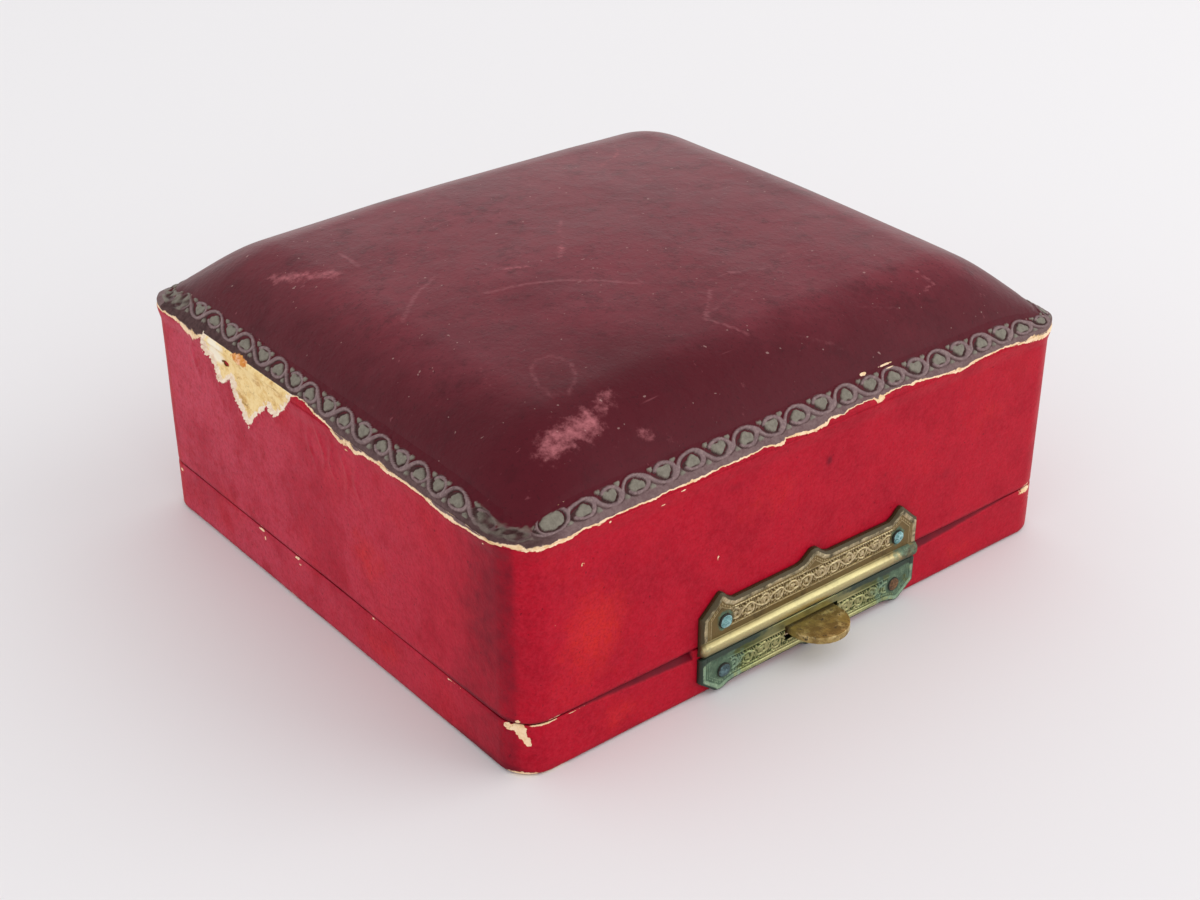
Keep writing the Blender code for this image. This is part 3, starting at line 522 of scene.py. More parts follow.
LEFT_EDGE = (
    (43, 0.1, 0.4), (41, 0.0, 0.3), (38, -0.1, 0.45), (36, 0.1, 0.7), (34, -0.3, 1.1),
    (33, -0.9, 1.5), (32.4, -1.1, 1.7), (31.9, -0.5, 1.1), (31.3, -1.5, 2.0), (30.3, -0.8, 1.4),
    (29, -0.3, 1.1), (28.2, 0.2, 0.7), (5.0, 0.2, 0.7), (4.4, 0.7, 0.4), (3.4, 1.2, 0.15),
    (1, 1.1, 0.3), (0, 0.9, 0.4), (-2, 0.5, 0.4), (-4, 0.3, 0.5), (-5, 0.0, 0.5),
    (-6, -0.7, 0.9), (-7, -1.2, 1.3), (-8, -1.1, 1.4), (-9.5, -0.8, 1.1), (-10.5, -1.5, 1.3),
    (-11.5, -1.0, 0.9), (-13, -0.4, 0.6), (-14, -0.5, 0.6), (-16, -0.3, 0.7), (-18, -0.7, 1.0),
    (-20, -0.4, 0.6), (-22, -0.3, 0.5), (-24, -0.4, 0.5), (-26, -0.3, 0.5), (-27, -0.8, 0.7),
    (-29, -1.0, 0.8), (-31, -1.2, 0.9), (-33, -1.0, 0.8), (-34, -0.8, 0.5), (-36, -0.6, 0.5),
    (-38, -0.5, 0.5), (-40, -0.2, 0.6), (-42, 0.2, 0.5))
HIDDEN_EDGE = tuple(
    (STATIONS[station] + shift, height, width) for station, shift, height, width in (
        (2, 0, -0.4, 0.8), (2, 9, 0.3, 0.35), (2, 21, 0.5, 0.5), (2, 40, 0.1, 0.3),
        (2, 58, 0.6, 0.4), (3, 0, 0.4, 0.4), (4, 0, 0.1, 0.4), (4, 20, 0.5, 0.3),
        (4, 36, 0.3, 0.6), (4, 57, 0.7, 0.3), (4, 75, 0.2, 0.4), (5, 0, 0.4, 0.4)))
EDGE_KNOTS = np.array(sorted(
    [(along_front(x), *rest) for x, *rest in FRONT_EDGE]
    + [(along_left(y), *rest) for y, *rest in LEFT_EDGE] + list(HIDDEN_EDGE)))


def torn_edge(t, level):
    """Where a height over the rim's foot lies: below 0 red, above 1 band, torn between."""
    low = np.interp(t, EDGE_KNOTS[:, 0], EDGE_KNOTS[:, 1], period=AROUND)
    width = np.interp(t, EDGE_KNOTS[:, 0], EDGE_KNOTS[:, 2], period=AROUND)
    x, y = wall_point(t, 0.0)
    low = low + 0.07 * waves(71, x, y, size=1.3) + 0.05 * waves(72, x, y, size=0.5)
    width = 0.62 * width * (1 + 0.40 * waves(73, x, y, size=1.8))
    return (level - low) / np.maximum(width, 0.10)


middle = torn_edge(np.array([along_front(0.0)]), 0.4)
print("the torn line at the front's middle is crossed at", round(float(middle[0]), 2))

# %% [markdown]
# ## Material patterns
# Age shows as patches: worn, faded or stained areas with soft uneven borders. Noise of a real
# size, cut between two levels, gives a mask of such patches, and colours are then laid over a
# ground colour one after the other, each where its mask is 1, as a painter glazes.

# %% Material patterns
def start_material(name):
    """A new material, its node tree and its shader; one node gives each point's place."""
    material = bpy.data.materials.new(name)
    material.use_nodes = True
    tree = material.node_tree
    node(tree, "TexCoord", name="place_on_object")
    return material, tree, tree.nodes["Principled BSDF"]


def on_object(tree):
    """The place of each point on its own object, in metres."""
    return tree.nodes["place_on_object"].outputs["Object"]


def patches(tree, size, low, high, detail=5.0, rough=0.6, stretch=None):
    """A mask of patches of a size in millimetres, soft between two levels of noise."""
    place = on_object(tree)
    if stretch:
        place = node(tree, "Mapping", {"Vector": place, "Scale": stretch}).outputs[0]
    noise = node(tree, "TexNoise", {
        "Vector": place, "Scale": 1 / (size * MM), "Detail": detail, "Roughness": rough})
    return node(tree, "MapRange", {
        "Value": noise.outputs["Fac"], "From Min": low, "From Max": high},
        interpolation_type="SMOOTHSTEP").outputs["Result"]


def frayed(tree, feature, low, high, size=0.5, depth=0.5):
    """A mask from a piece's own feature, with its border broken up by noise of a size in mm."""
    value = node(tree, "Attribute", attribute_name=feature).outputs["Fac"]
    noise = node(tree, "TexNoise", {
        "Vector": on_object(tree), "Scale": 1 / (size * MM), "Detail": 5.0, "Roughness": 0.65})
    shift = node(tree, "Math", {0: noise.outputs["Fac"], 1: 0.5}, operation="SUBTRACT")
    torn = node(tree, "Math", {
        0: shift.outputs[0], 1: 2 * depth, 2: value}, operation="MULTIPLY_ADD")
    return node(tree, "MapRange", {
        "Value": torn.outputs[0], "From Min": low, "From Max": high},
        interpolation_type="SMOOTHSTEP").outputs["Result"]


def layered(tree, ground, *layers):
    """Lay colours or values over a ground, each where its mask, or a share of it, is 1."""
    for mask, source, *share in layers:
        if share:
            mask = node(tree, "Math", {0: mask, 1: share[0]}, operation="MULTIPLY").outputs[0]
        coloured = isinstance(source, str) or getattr(source, "type", "") == "RGBA"
        kind, sockets, output = ("RGBA", (0, 6, 7), 2) if coloured else ("FLOAT", (0, 2, 3), 0)
        feeds = dict(zip(sockets, (mask, ground, source)))
        ground = node(tree, "Mix", feeds, data_type=kind).outputs[output]
    return ground


def connect(tree, shader, colour, roughness, metallic=0.0, reliefs=(), **levels):
    """Link a finish to the shader, with reliefs as pairs of a height and a depth in mm.

    levels are the shader's other sockets, with an underscore for each space in their names.
    """
    finish = {"Base Color": colour, "Roughness": roughness, "Metallic": metallic}
    finish.update((name.replace("_", " "), value) for name, value in levels.items())
    for socket, source in finish.items():
        if isinstance(source, bpy.types.NodeSocket):
            tree.links.new(source, shader.inputs[socket])
        else:
            value = linear(source) if isinstance(source, str) else source
            shader.inputs[socket].default_value = value
    normal = None
    for height, depth in reliefs:
        feeds = {"Height": height, "Distance": depth * MM, "Strength": 1.0}
        if normal:
            feeds["Normal"] = normal
        normal = node(tree, "Bump", feeds).outputs["Normal"]
    if normal:
        tree.links.new(normal, shader.inputs["Normal"])


print("material helpers are ready")

# %% [markdown]
# ## Dark red polished leather
# The dome is goatskin, dyed dark red and glazed. Its rim and front slope are darker, partly aged
# dye and partly painted shade, and age has left a clouded, scuffed skin: broad hazy patches, pink
# rubs where the dye is gone, and hundreds of fine scratches. The grain is fine, about 0.5 mm, and
# the glaze gives a broad soft gloss.
# The tooled border needs the same colours above its vine, so they come from a function.

# %% Dark red polished leather
def goatskin_colours(tree):
    """Colour, gloss and mottling of the glazed skin."""
    haze = patches(tree, 22.0, 0.42, 0.68, detail=4.0)
    shade = patches(tree, 16.0, 0.45, 0.66, detail=5.0)
    mottle = patches(tree, 2.4, 0.40, 0.70, rough=0.7)
    pores = patches(tree, 0.45, 0.60, 0.72, detail=2.0)
    scratch_a = patches(tree, 1.3, 0.70, 0.74, detail=3.0, stretch=(1.0, 0.07, 1.0))
    scratch_b = patches(tree, 1.6, 0.71, 0.75, detail=3.0, stretch=(0.09, 1.0, 1.0))
    rub = frayed(tree, "scuff", 0.30, 1.55, size=1.0, depth=1.05)
    faint = frayed(tree, "faint", 0.28, 1.00, size=1.1, depth=0.60)
    # Darker near the rim and on the front's slope: partly aged dye, partly painted shade.
    dark = frayed(tree, "dark", 0.0, 1.0, size=7.0, depth=0.30)
    flecks = patches(tree, 0.8, 0.755, 0.79, detail=1.0)
    soil = patches(tree, 5.5, 0.50, 0.70, detail=6.0, rough=0.75)
    skin = layered(
        tree, "702530", (haze, "7C343F", 0.50), (shade, "5C1A26", 0.60),
        (mottle, "601F2A", 0.66), (dark, "480A16", 0.85), (pores, "380E16", 0.50),
        (soil, "441019", 0.62), (scratch_a, "8A4A51", 0.40), (scratch_b, "8A4A51", 0.40),
        (faint, "9C5A60", 0.42), (rub, "BC7076", 0.84), (flecks, "C0A098", 0.35))
    gloss = layered(
        tree, 0.42, (haze, 0.48), (mottle, 0.38, 0.66), (scratch_a, 0.60, 0.40), (rub, 0.70))
    return skin, gloss, mottle


goatskin, tree, shader = start_material("glazed_goatskin")
skin, gloss, mottle = goatskin_colours(tree)
grain = node(tree, "TexVoronoi", {
    "Vector": on_object(tree), "Scale": 1 / (0.50 * MM)}, feature="SMOOTH_F1").outputs["Distance"]
swell = node(tree, "TexNoise", {
    "Vector": on_object(tree), "Scale": 1 / (5.0 * MM), "Detail": 4.0}).outputs["Fac"]
connect(tree, shader, skin, gloss, reliefs=((grain, 0.016), (swell, 0.12), (mottle, 0.02)),
        Specular_IOR_Level=0.10, Sheen_Weight=0.22, Sheen_Roughness=0.30, Sheen_Tint="DCCFC8")
print("leather:", goatskin.name, len(tree.nodes), "nodes")

# %% [markdown]
# ## Red paste-grain paper
# The sides are covered with thin split leather or leathered paper, dyed red, pasted on the
# wood and polished by hands. To the eye it is a clear red with cloudy darker and more orange
# patches, tiny dark specks, a fine pebbled grain of about 0.4 mm and a satin gloss. Where it
# is torn, its cream body shows, and under a deep tear there is yellowed board. The tooled rim
# uses the same recipe, because the red paper runs up on to it, and adds its vine.

# %% Red paste-grain paper
def covering_material(name, tooled):
    """Red covering with its torn edge; tooled adds the vine and the band of the rim."""
    material, tree, shader = start_material(name)
    cloudy = patches(tree, 9.0, 0.42, 0.66)
    warm = patches(tree, 12.0, 0.50, 0.70, detail=6.0)
    deep = patches(tree, 3.2, 0.50, 0.72, rough=0.7)
    fibre = patches(tree, 0.8, 0.36, 0.64, rough=0.78)
    grit = patches(tree, 0.42, 0.42, 0.66, rough=0.7)
    specks = patches(tree, 0.55, 0.68, 0.74, detail=2.0)
    stains = patches(tree, 5.5, 0.62, 0.76, rough=0.8)
    blush = frayed(tree, "warm", 0.10, 0.95, size=2.5, depth=0.55)
    # Painted sheen: the left side's red is lightened towards pink, more towards the back.
    faded = frayed(tree, "faded", 0.05, 1.0, size=6.0, depth=0.25)
    rubbed = frayed(tree, "wear", 0.40, 0.54, size=0.6, depth=0.60)
    # A darker red for spilt stains, and for painted shade along the lid's lower edge, beside the
    # near corner and in the finger bevels.
    grimed = frayed(tree, "grime", 0.10, 0.90, size=1.6, depth=0.30)
    above = frayed(tree, "edge", -0.14, 0.10, size=0.40, depth=0.65)
    past = frayed(tree, "edge", 0.90, 1.20, size=0.50, depth=0.70)
    board = frayed(tree, "tear", 0.50, 0.80, size=1.0, depth=1.10)
    torn = frayed(tree, "tear", -0.06, 0.04, size=0.55, depth=0.55)
    # Painted shade: a dark hole under the border at the back end of the tear.
    hole = frayed(tree, "hole", 0.40, 0.60, size=0.7, depth=0.45)
    pale = frayed(tree, "pale", 0.30, 0.70, size=1.8, depth=0.60)
    yellowed = patches(tree, 1.8, 0.44, 0.64, rough=0.7)
    shadowed = patches(tree, 1.4, 0.58, 0.72, rough=0.75)
    streaks = patches(tree, 3.4, 0.52, 0.70, rough=0.75, stretch=(1.0, 1.0, 2.4))
    red = layered(
        tree, "AC0E25", (faded, "BC4258"), (cloudy, "8C0A20", 0.52), (warm, "B81A26", 0.55),
        (deep, "920A1E", 0.64), (blush, "CA2A24", 0.75), (fibre, "BC2438", 0.44),
        (grit, "84071A", 0.42), (specks, "3E0A14", 0.60), (stains, "5A0E1C", 0.60))
    cream = layered(tree, "F3D6B2", (yellowed, "E3BF90"), (shadowed, "A87A50"))
    pith = layered(
        tree, "F0D69E", (yellowed, "E2BE7C"), (streaks, "C79C62"), (shadowed, "9C7444"),
        (pale, "F4EAD4"), (hole, "5E3A14"))
    band = layered(tree, "6C5455", (deep, "523E40"), (fibre, "7E6867"))
    fringe = layered(tree, "F6E9D6", (fibre, "E6CDB4"), (shadowed, "CDA684"))
    vine, vine_gloss, spoilt = [], [], []
    if tooled:
        stem, leaf, ground, skin = (
            node(tree, "Attribute", attribute_name=feature).outputs["Fac"]
            for feature in ("stem", "leaf", "ground", "skin"))
        silver = layered(tree, "716B60", (deep, "575247"), (fibre, "827C70"))
        stalk = layered(tree, "796364", (deep, "604E4F"), (grit, "8D7876"))
        pit = layered(tree, "36201F", (fibre, "4A3030"))
        rust = layered(tree, "DE9A52", (fibre, "C8762E"), (yellowed, "F0C6A0"))
        leather, polish, _ = goatskin_colours(tree)
        crumb = frayed(tree, "crumb", 0.40, 0.55, size=0.7, depth=0.55)
        chip = frayed(tree, "chip", 0.42, 0.54, size=0.5, depth=0.45)
        # The ground mask holds the dark ring ground, the band under the vine and a painted shadow
        # line round the stems and leaves.
        vine = [(ground, pit), (skin, leather), (stem, stalk), (leaf, silver)]
        vine_gloss = [(past, 0.52), (skin, polish), (stem, 0.42), (leaf, 0.46)]
        spoilt = [(crumb, rust), (chip, cream)]
    colour = layered(
        tree, red, (grimed, "681020"), (above, cream), (past, band), *vine,
        (torn, fringe), (board, pith), *spoilt, (rubbed, cream))
    roughness = layered(
        tree, 0.40, (cloudy, 0.48), (above, 0.85), *vine_gloss, (torn, 0.90), (rubbed, 0.88))
    grain = node(tree, "TexVoronoi", {
        "Vector": on_object(tree), "Scale": 1 / (0.42 * MM)},
        feature="SMOOTH_F1").outputs["Distance"]
    ripple = node(tree, "TexNoise", {
        "Vector": on_object(tree), "Scale": 1 / (2.6 * MM), "Detail": 6.0}).outputs["Fac"]
    connect(tree, shader, colour, roughness, reliefs=((grain, 0.020), (ripple, 0.08)),
            Specular_IOR_Level=0.08)
    return material


red_paper = covering_material("red_paste_grain_paper", False)
tooled_leather = covering_material("tooled_rim_leather", True)
print("coverings:", red_paper.name, tooled_leather.name)

# %% [markdown]
# ## The domed top
# The leather is one sheet, stretched over the wadding while damp and turned down at the rim.
# A cloth simulation would only sag a sheet that is this tight, so it is drawn as a surface:
# squares' rings that shrink from the rim's outline to the middle, lifted by the height
# function, with soft lumps where the wadding has settled. Under the tooled border it is
# pressed in, because the hot wheel pressed it.

# %% Domed top
DOME_STEPS = 208
SPACING = 1.12


def on_outline(u, v, half_x, half_y, radius):
    """Move the border of a square to a rounded outline: along the side, then round the arc."""
    flat_x, flat_y = half_x - radius, half_y - radius
    on_side = np.abs(u) >= np.abs(v)
    share = 1 - (1 - np.minimum(np.abs(u), np.abs(v))) ** 1.3
    flat = np.where(on_side, flat_y, flat_x)
    past = share * (flat + radius * math.pi / 4) - flat
    turn = np.clip(past, 0, None) / radius
    out = radius * np.cos(turn)
    along = np.where(past > 0, radius * np.sin(turn), past)
    x = flat_x + np.where(on_side, out, along)
    y = flat_y + np.where(on_side, along, out)
    return np.sign(u) * x, np.sign(v) * y


def rings_inside(half_x, half_y, radius, steps, spacing):
    """Rings of places from a rounded outline to its middle, and the ring of each: 1 to 0."""
    line = np.linspace(-1, 1, steps + 1)
    u, v = np.meshgrid(line, line, indexing="ij")
    ring = np.maximum(np.abs(u), np.abs(v))
    whole = np.where(ring > 0, ring, 1)
    x, y = on_outline(u / whole, v / whole, half_x, half_y, radius)
    share = 1 - (1 - ring) ** spacing
    return x * share, y * share, ring


def spot(x, y, centre, reach, turn=0.0):
    """A round or long soft spot: 1 in its middle, 0 at its reach, by a bell of the distance."""
    turned_x = (x - centre[0]) * math.cos(turn) + (y - centre[1]) * math.sin(turn)
    turned_y = (y - centre[1]) * math.cos(turn) - (x - centre[0]) * math.sin(turn)
    return np.exp(-2 * ((turned_x / reach[0]) ** 2 + (turned_y / reach[1]) ** 2))


def line_mark(x, y, path, width):
    """A soft line along a path, by a bell of the distance to it."""
    points = np.stack((x.ravel(), y.ravel()), axis=1)
    low, high = np.min(path, axis=0) - 3, np.max(path, axis=0) + 3
    near = ((points > low) & (points < high)).all(axis=1)
    mark = np.zeros(len(points))
    mark[near] = np.exp(-2 * (polyline_distance(points[near], np.array(path)) / width) ** 2)
    return mark.reshape(x.shape)


def darkness(x, y):
    """How much darker the leather is near the rim and on the front's slope: aged dye and painted
    shade.
    """
    rim = 1 - smooth_step(from_rim(x, y), 2.0, 17.0)
    front = 0.75 * spot(x, y, (-26.0, -34.0), (44.0, 22.0), 0.25)
    return np.clip(0.85 * rim + front, 0, 1)


x, y, _ = rings_inside(
    HALF_X + OVERHANG, HALF_Y + OVERHANG, CORNER + OVERHANG, DOME_STEPS, SPACING)
inset = from_rim(x, y)
slope = np.interp(inset, INSETS, SLOPES)
lumps = 0.12 * waves(3, x, y, size=30.0) + 0.04 * waves(4, x, y, size=11.0)
away = smooth_step(inset, 4.0, 12.0)
sunk = SUNK * (1 - smooth_step(slope, BORDER_TOP - 0.35, BORDER_TOP + 0.25))
z = top_height(x, y) - sunk + (lumps - 0.25) * away
side = np.where(inset < 3.2, sunk * (1 - inset / 3.2), 0)
x, y = x * (1 - side / (HALF_X + OVERHANG)), y * (1 - side / (HALF_Y + OVERHANG))
print("dome:", x.shape, "places, highest", round(float(z.max()), 2), "mm")

# %% [markdown]
# ## Marks of use on the dome
# Each rub and scratch is a short path that was read off the picture, with a width and a
# strength. Its soft line is kept as a number on the surface's points, so it stays in place
# from every side.

# %% Marks on the dome
RUBS = (
    ([(-37.7, -36.5), (-35.2, -36.5), (-32.6, -36.3), (-30.6, -35.8)], 2.9, 1.0),
    ([(-30.6, -35.8), (-28.6, -35.0), (-26.4, -33.6)], 2.0, 0.72),
    ([(-25.6, -39.4), (-24.6, -39.9)], 1.1, 0.75), ([(-22.6, -40.9), (-21.8, -41.3)], 0.7, 0.55),
    ([(-39.4, 22.6), (-37.5, 19.2), (-34.2, 15.4)], 2.0, 0.85),
    ([(-1.2, 7.6), (-4.5, 3.2), (-6.2, 0.0), (-8.3, -1.5)], 0.9, 0.60),
    ([(-6.6, 0.2), (-9.0, -2.2)], 1.2, 0.60),
    ([(-16.9, -0.6), (-14.2, -2.1)], 0.6, 0.95), ([(-8.0, -38.4), (-10.6, -41.4)], 0.5, 0.45),
    ([(29.5, -33.0), (29.9, -35.7), (27.7, -36.3)], 0.55, 0.75),
    ([(18.0, 22.0), (24.0, 25.0), (27.0, 30.0)], 0.9, 0.55),
    ([(38.0, -6.0), (37.0, 1.0), (39.0, 5.0)], 1.3, 0.60),
    ([(-12.0, 38.0), (-4.0, 36.5), (1.0, 37.5)], 1.1, 0.60))
SCRATCHES = (
    ([(-23.0, -4.2), (-18.0, -5.8), (-13.0, -8.3), (-9.0, -11.6), (-5.7, -15.4)], 0.6, 0.85),
    ([(0.7, -22.4), (-2.5, -25.5), (-5.1, -27.8), (-2.5, -33.2)], 0.55, 0.9),
    ([(-5.1, -27.8), (10.5, -21.6), (20.4, -19.2)], 0.8, 0.5),
    ([(-24.9, 4.7), (-29.8, 2.2), (-35.4, -2.7)], 0.65, 0.85),
    ([(-30.2, 20.4), (-30.6, 14.9)], 0.6, 0.9),
    ([(-30.6, -24.2), (-28.4, -22.4), (-26.4, -22.9), (-25.6, -25.6), (-27.4, -29.0),
      (-30.4, -31.4), (-32.4, -30.4), (-31.9, -26.6), (-30.6, -24.2)], 0.8, 0.55),
    ([(-30.4, -27.0), (-27.6, -25.4)], 1.8, 0.34), ([(-29.6, -24.6), (-26.9, -24.0)], 0.8, 0.40),
    ([(-34.8, -19.1), (-36.2, -22.4), (-36.8, -25.3)], 0.5, 0.50),
    ([(3.5, -35.5), (6.5, -37.5), (9.5, -39.6)], 0.6, 0.50),
    ([(15.9, -35.0), (22.2, -37.4)], 0.45, 0.45), ([(6.3, -20.0), (7.4, -20.6)], 0.6, 0.95),
    ([(-42.0, 2.0), (-37.0, 4.5), (-34.0, 9.0)], 0.45, 0.35),
    ([(12.0, 6.0), (20.0, 10.0), (29.0, 11.0)], 0.5, 0.40),
    ([(24.0, -20.0), (30.0, -12.0), (33.0, -3.0)], 0.45, 0.40),
    ([(-22.0, 26.0), (-14.0, 29.0), (-5.0, 29.5)], 0.5, 0.40))
scuff, faint = (
    np.max([level * line_mark(x, y, path, width) for path, width, level in marks], axis=0)
    for marks in (RUBS, SCRATCHES))
dome = surface(
    "domed_top", grid_of(x, y, z), turned=True, scuff=scuff, faint=faint, dark=darkness(x, y))
thicken(dome, "leather_thickness", 0.8)
dress(dome, goatskin, "dark_red_leather", "lid", "lid_top_leather")

# %% [markdown]
# ## The tear's outline
# On the left a flap of the red covering has torn away from the rim. The tear is a measured
# outline, made ragged by two sizes of waves. The distance to it, positive inside, sinks the
# surface there, and the material turns the same number into white fringe and yellow board.

# %% The tear
TEAR = np.array((
    (28.0, 34.5), (28.3, 32.8), (28.7, 31.2), (26.1, 30.6), (24.8, 27.7), (21.5, 29.5),
    (20.5, 26.7), (17.4, 23.8), (15.6, 26.1), (11.8, 29.3), (9.9, 28.5), (6.4, 31.5),
    (5.4, 32.6), (4.5, 34.0), (4.3, 34.5)))


def depth_inside(y, z, outline):
    """Distance to an outline's drawn side, positive inside: odd crossings of a ray lie inside.

    The side that closes the outline, under the border, isn't drawn and gives no distance.
    """
    points = np.stack((y.ravel(), z.ravel()), axis=1)
    closed = np.vstack((outline, outline[:1]))
    distance = polyline_distance(points, outline)
    low, high = closed[:-1], closed[1:]
    spans = (low[:, 1] > points[:, 1:2]) != (high[:, 1] > points[:, 1:2])
    rise = np.where(high[:, 1] == low[:, 1], 1.0, high[:, 1] - low[:, 1])
    cross = low[:, 0] + (points[:, 1:2] - low[:, 1]) * (high[:, 0] - low[:, 0]) / rise
    inside = (spans & (points[:, :1] < cross)).sum(axis=1) % 2 == 1
    depth = np.where(inside, distance, -distance).reshape(y.shape)
    return depth + 0.26 * waves(81, y, z, size=1.5) + 0.16 * waves(82, y, z, size=0.55)


print("the tear is", round(float(np.ptp(TEAR[:, 0])), 1), "mm wide")

# %% [markdown]
# ## The tooled border
# The rim carries the rolled vine on a narrow strip that starts on the upright band and climbs
# the foot of the dome. It is one closed ribbon: rows go round its section, columns go round
# the case. The wheel's turns are stretched or squeezed a little, so that each leaf falls where
# the picture shows one, and a single broad leaf was pressed at the near corner.

# %% Tooled border
BORDER_COLUMNS = 2400
BORDER_ROWS = 36
BORDER_FOOT = -0.10
LEAVES_IN_FRONT = (-37.8, -29.6, -20.7, -11.7, -2.8, 6.0, 14.7, 23.3, 31.7, 40.2)
LEAVES_ON_LEFT = (27.2, 18.5, 9.5, 1.3, -7.0, -15.7, -24.0, -31.8)
TURNS_BEHIND = 23
BROAD_LEAF, BROAD_REACH = (1.4, 3.35), (1.75, 1.28)
BROAD_RING, BROAD_BORDER, BROAD_SCALE = 1.36, (1.40, 1.55), 1.3
VINE_LEVELS = sorted(
    [(along_front(x), level) for x, level in (
        (-43.5, 3.0), (-38, 2.75), (-33, 2.95), (-10, 3.05), (5, 3.1), (12, 2.95), (20, 2.75),
        (30, 2.55), (43, 2.35))]
    + [(along_left(y), level) for y, level in (
        (39, 3.5), (30, 3.6), (20, 3.4), (10, 3.0), (0, 2.62), (-10, 2.4), (-20, 2.3),
        (-30, 2.2), (-39, 2.3))]
    + [(STATIONS[2], 2.5), (STATIONS[3], 2.7), (STATIONS[4], 2.8)])


def vine_turns(t):
    """Turns of the wheel along the rim, drawn through the places of the lower leaves."""
    first = -LEAVES_IN_FRONT.index(-2.8)
    knots = [(along_front(x), first + n) for n, x in enumerate(LEAVES_IN_FRONT)]
    after = knots[-1][1] + TURNS_BEHIND
    knots += [(along_left(y), after + n) for n, y in enumerate(LEAVES_ON_LEFT)]
    places, turns = np.array(knots).T
    whole = turns[-1] + 2 - first
    places = np.concatenate((places[-1:] - AROUND, places, places[:1] + AROUND))
    turns = np.concatenate((turns[-1:] - whole, turns, turns[:1] + whole))
    return np.interp(t, places, turns)


def border_surface(t, slope, lift):
    """Place on the rim at a distance round and up the slope, moved out by a lift."""
    inset = np.interp(slope, SLOPES, INSETS) - OVERHANG
    x, y = wall_point(t, inset)
    foot = np.clip(slope / EDGE_BAND, None, 1)
    height = RIM + (top_height(x, y) - RIM) * foot
    turn = np.interp(t, STATIONS, TURN)
    rise = np.interp(slope, (0.3, 0.9, 2.0, 5.2), (0.0, 0.50, 0.60, 0.75))
    out = np.sqrt(1 - rise ** 2)
    return grid_of(
        x + lift * out * np.cos(turn), y + lift * out * np.sin(turn), height + lift * rise)


def rounded_ridge(distance, width):
    """A rounded ridge: 1 on its line, falling as a circle does to 0 at its half width."""
    return np.sqrt(np.clip(1 - (distance / width) ** 2, 0, 1))


t = np.linspace(0, AROUND, BORDER_COLUMNS, endpoint=False)[None, :]
slope = np.linspace(BORDER_FOOT, BORDER_TOP, BORDER_ROWS)[:, None]
t, slope = np.broadcast_arrays(t, slope)
x0, y0 = wall_point(t, 0.0)
from_corner = round_gap(t, 0.0)
crushed = between(from_corner, -12.5, -9.5, -2.5, -0.5)
creased = between(t, STATIONS[5] - 4, STATIONS[5], LEFT_START + 3.5, LEFT_START + 6.5)
muddled = np.maximum(crushed, creased)
level_knots = np.array(VINE_LEVELS)
centre = np.interp(t, level_knots[:, 0], level_knots[:, 1], period=AROUND)
height = slope - centre + 0.30 * muddled * waves(13, t, slope, size=2.4)
height = height + 0.10 * waves(19, x0, y0, slope, size=3.0)
turns = vine_turns(t) + 0.05 * muddled * waves(15, t, slope, size=2.0)
turns = turns + 0.018 * waves(16, x0, y0, slope, size=3.0)
stems, leaves, rings = (look_up(part, turns, height, VINE_HALF) for part in VINE)
broad = np.hypot(
    (from_corner - BROAD_LEAF[0]) / BROAD_REACH[0], (slope - BROAD_LEAF[1]) / BROAD_REACH[1])
lobed = 1.0 + 0.06 * np.sin(45 * turns) - broad
share = 1 - smooth_step(broad, *BROAD_BORDER)
stems, leaves, rings = (
    values * (1 - share) + share * BROAD_SCALE * depth for values, depth in (
        (stems, np.abs(broad - BROAD_RING)), (leaves, lobed), (rings, BROAD_RING - broad)))
print("the vine turns", round(float(vine_turns(AROUND) - vine_turns(0.0))), "times round the rim")

# %% [markdown]
# ## The border's relief and colours
# The wheel pressed the ground in, so stems and leaves stand about 0.2 mm over it.
# Near two corners it slipped and left a muddle. The same numbers go to the material: stem,
# leaf, dark ground in the rings, a painted shadow line round stems and leaves, the dome's own
# skin above the vine, and the torn paper below.
# A crumb of rusty glue sticks out over the tear, and a few raised chips show cream paper.

# %% Border's relief
STEM_RISE, PIT_DEPTH, PRESSED_IN, RIBBON_DEPTH = 0.20, 0.10, 0.22, 0.62
CRUMB_RISE, CHIP_RISE, LEAST_SUNK = 0.34, 0.07, 0.005
ABOVE_THE_TEAR = 2.0
CHIPS = (
    (10.0, 4.70, 0.9, 0.40, 1.0), (14.2, 4.75, 2.0, 0.22, 1.0), (14.6, 4.15, 1.3, 0.14, 0.9),
    (11.2, 0.75, 0.85, 0.75, 1.0), (-40.0, 4.85, 3.6, 0.10, 0.7))
inside = smooth_step(VINE_HALF - np.abs(height), -0.02, 0.10)
muddle = 0.5 + 0.5 * waves(14, t, slope, size=1.5)
stem = smooth_step(0.25 - stems, 0.0, 0.12) * inside * (1 - 0.75 * muddled)
leaf = smooth_step(leaves, -0.03, 0.08) * inside * (1 - muddled)
leaf = leaf + muddled * smooth_step(muddle, 0.25, 0.75) * inside * (0.45 + 0.4 * creased)
pit = smooth_step(rings, -0.05, 0.10) * inside
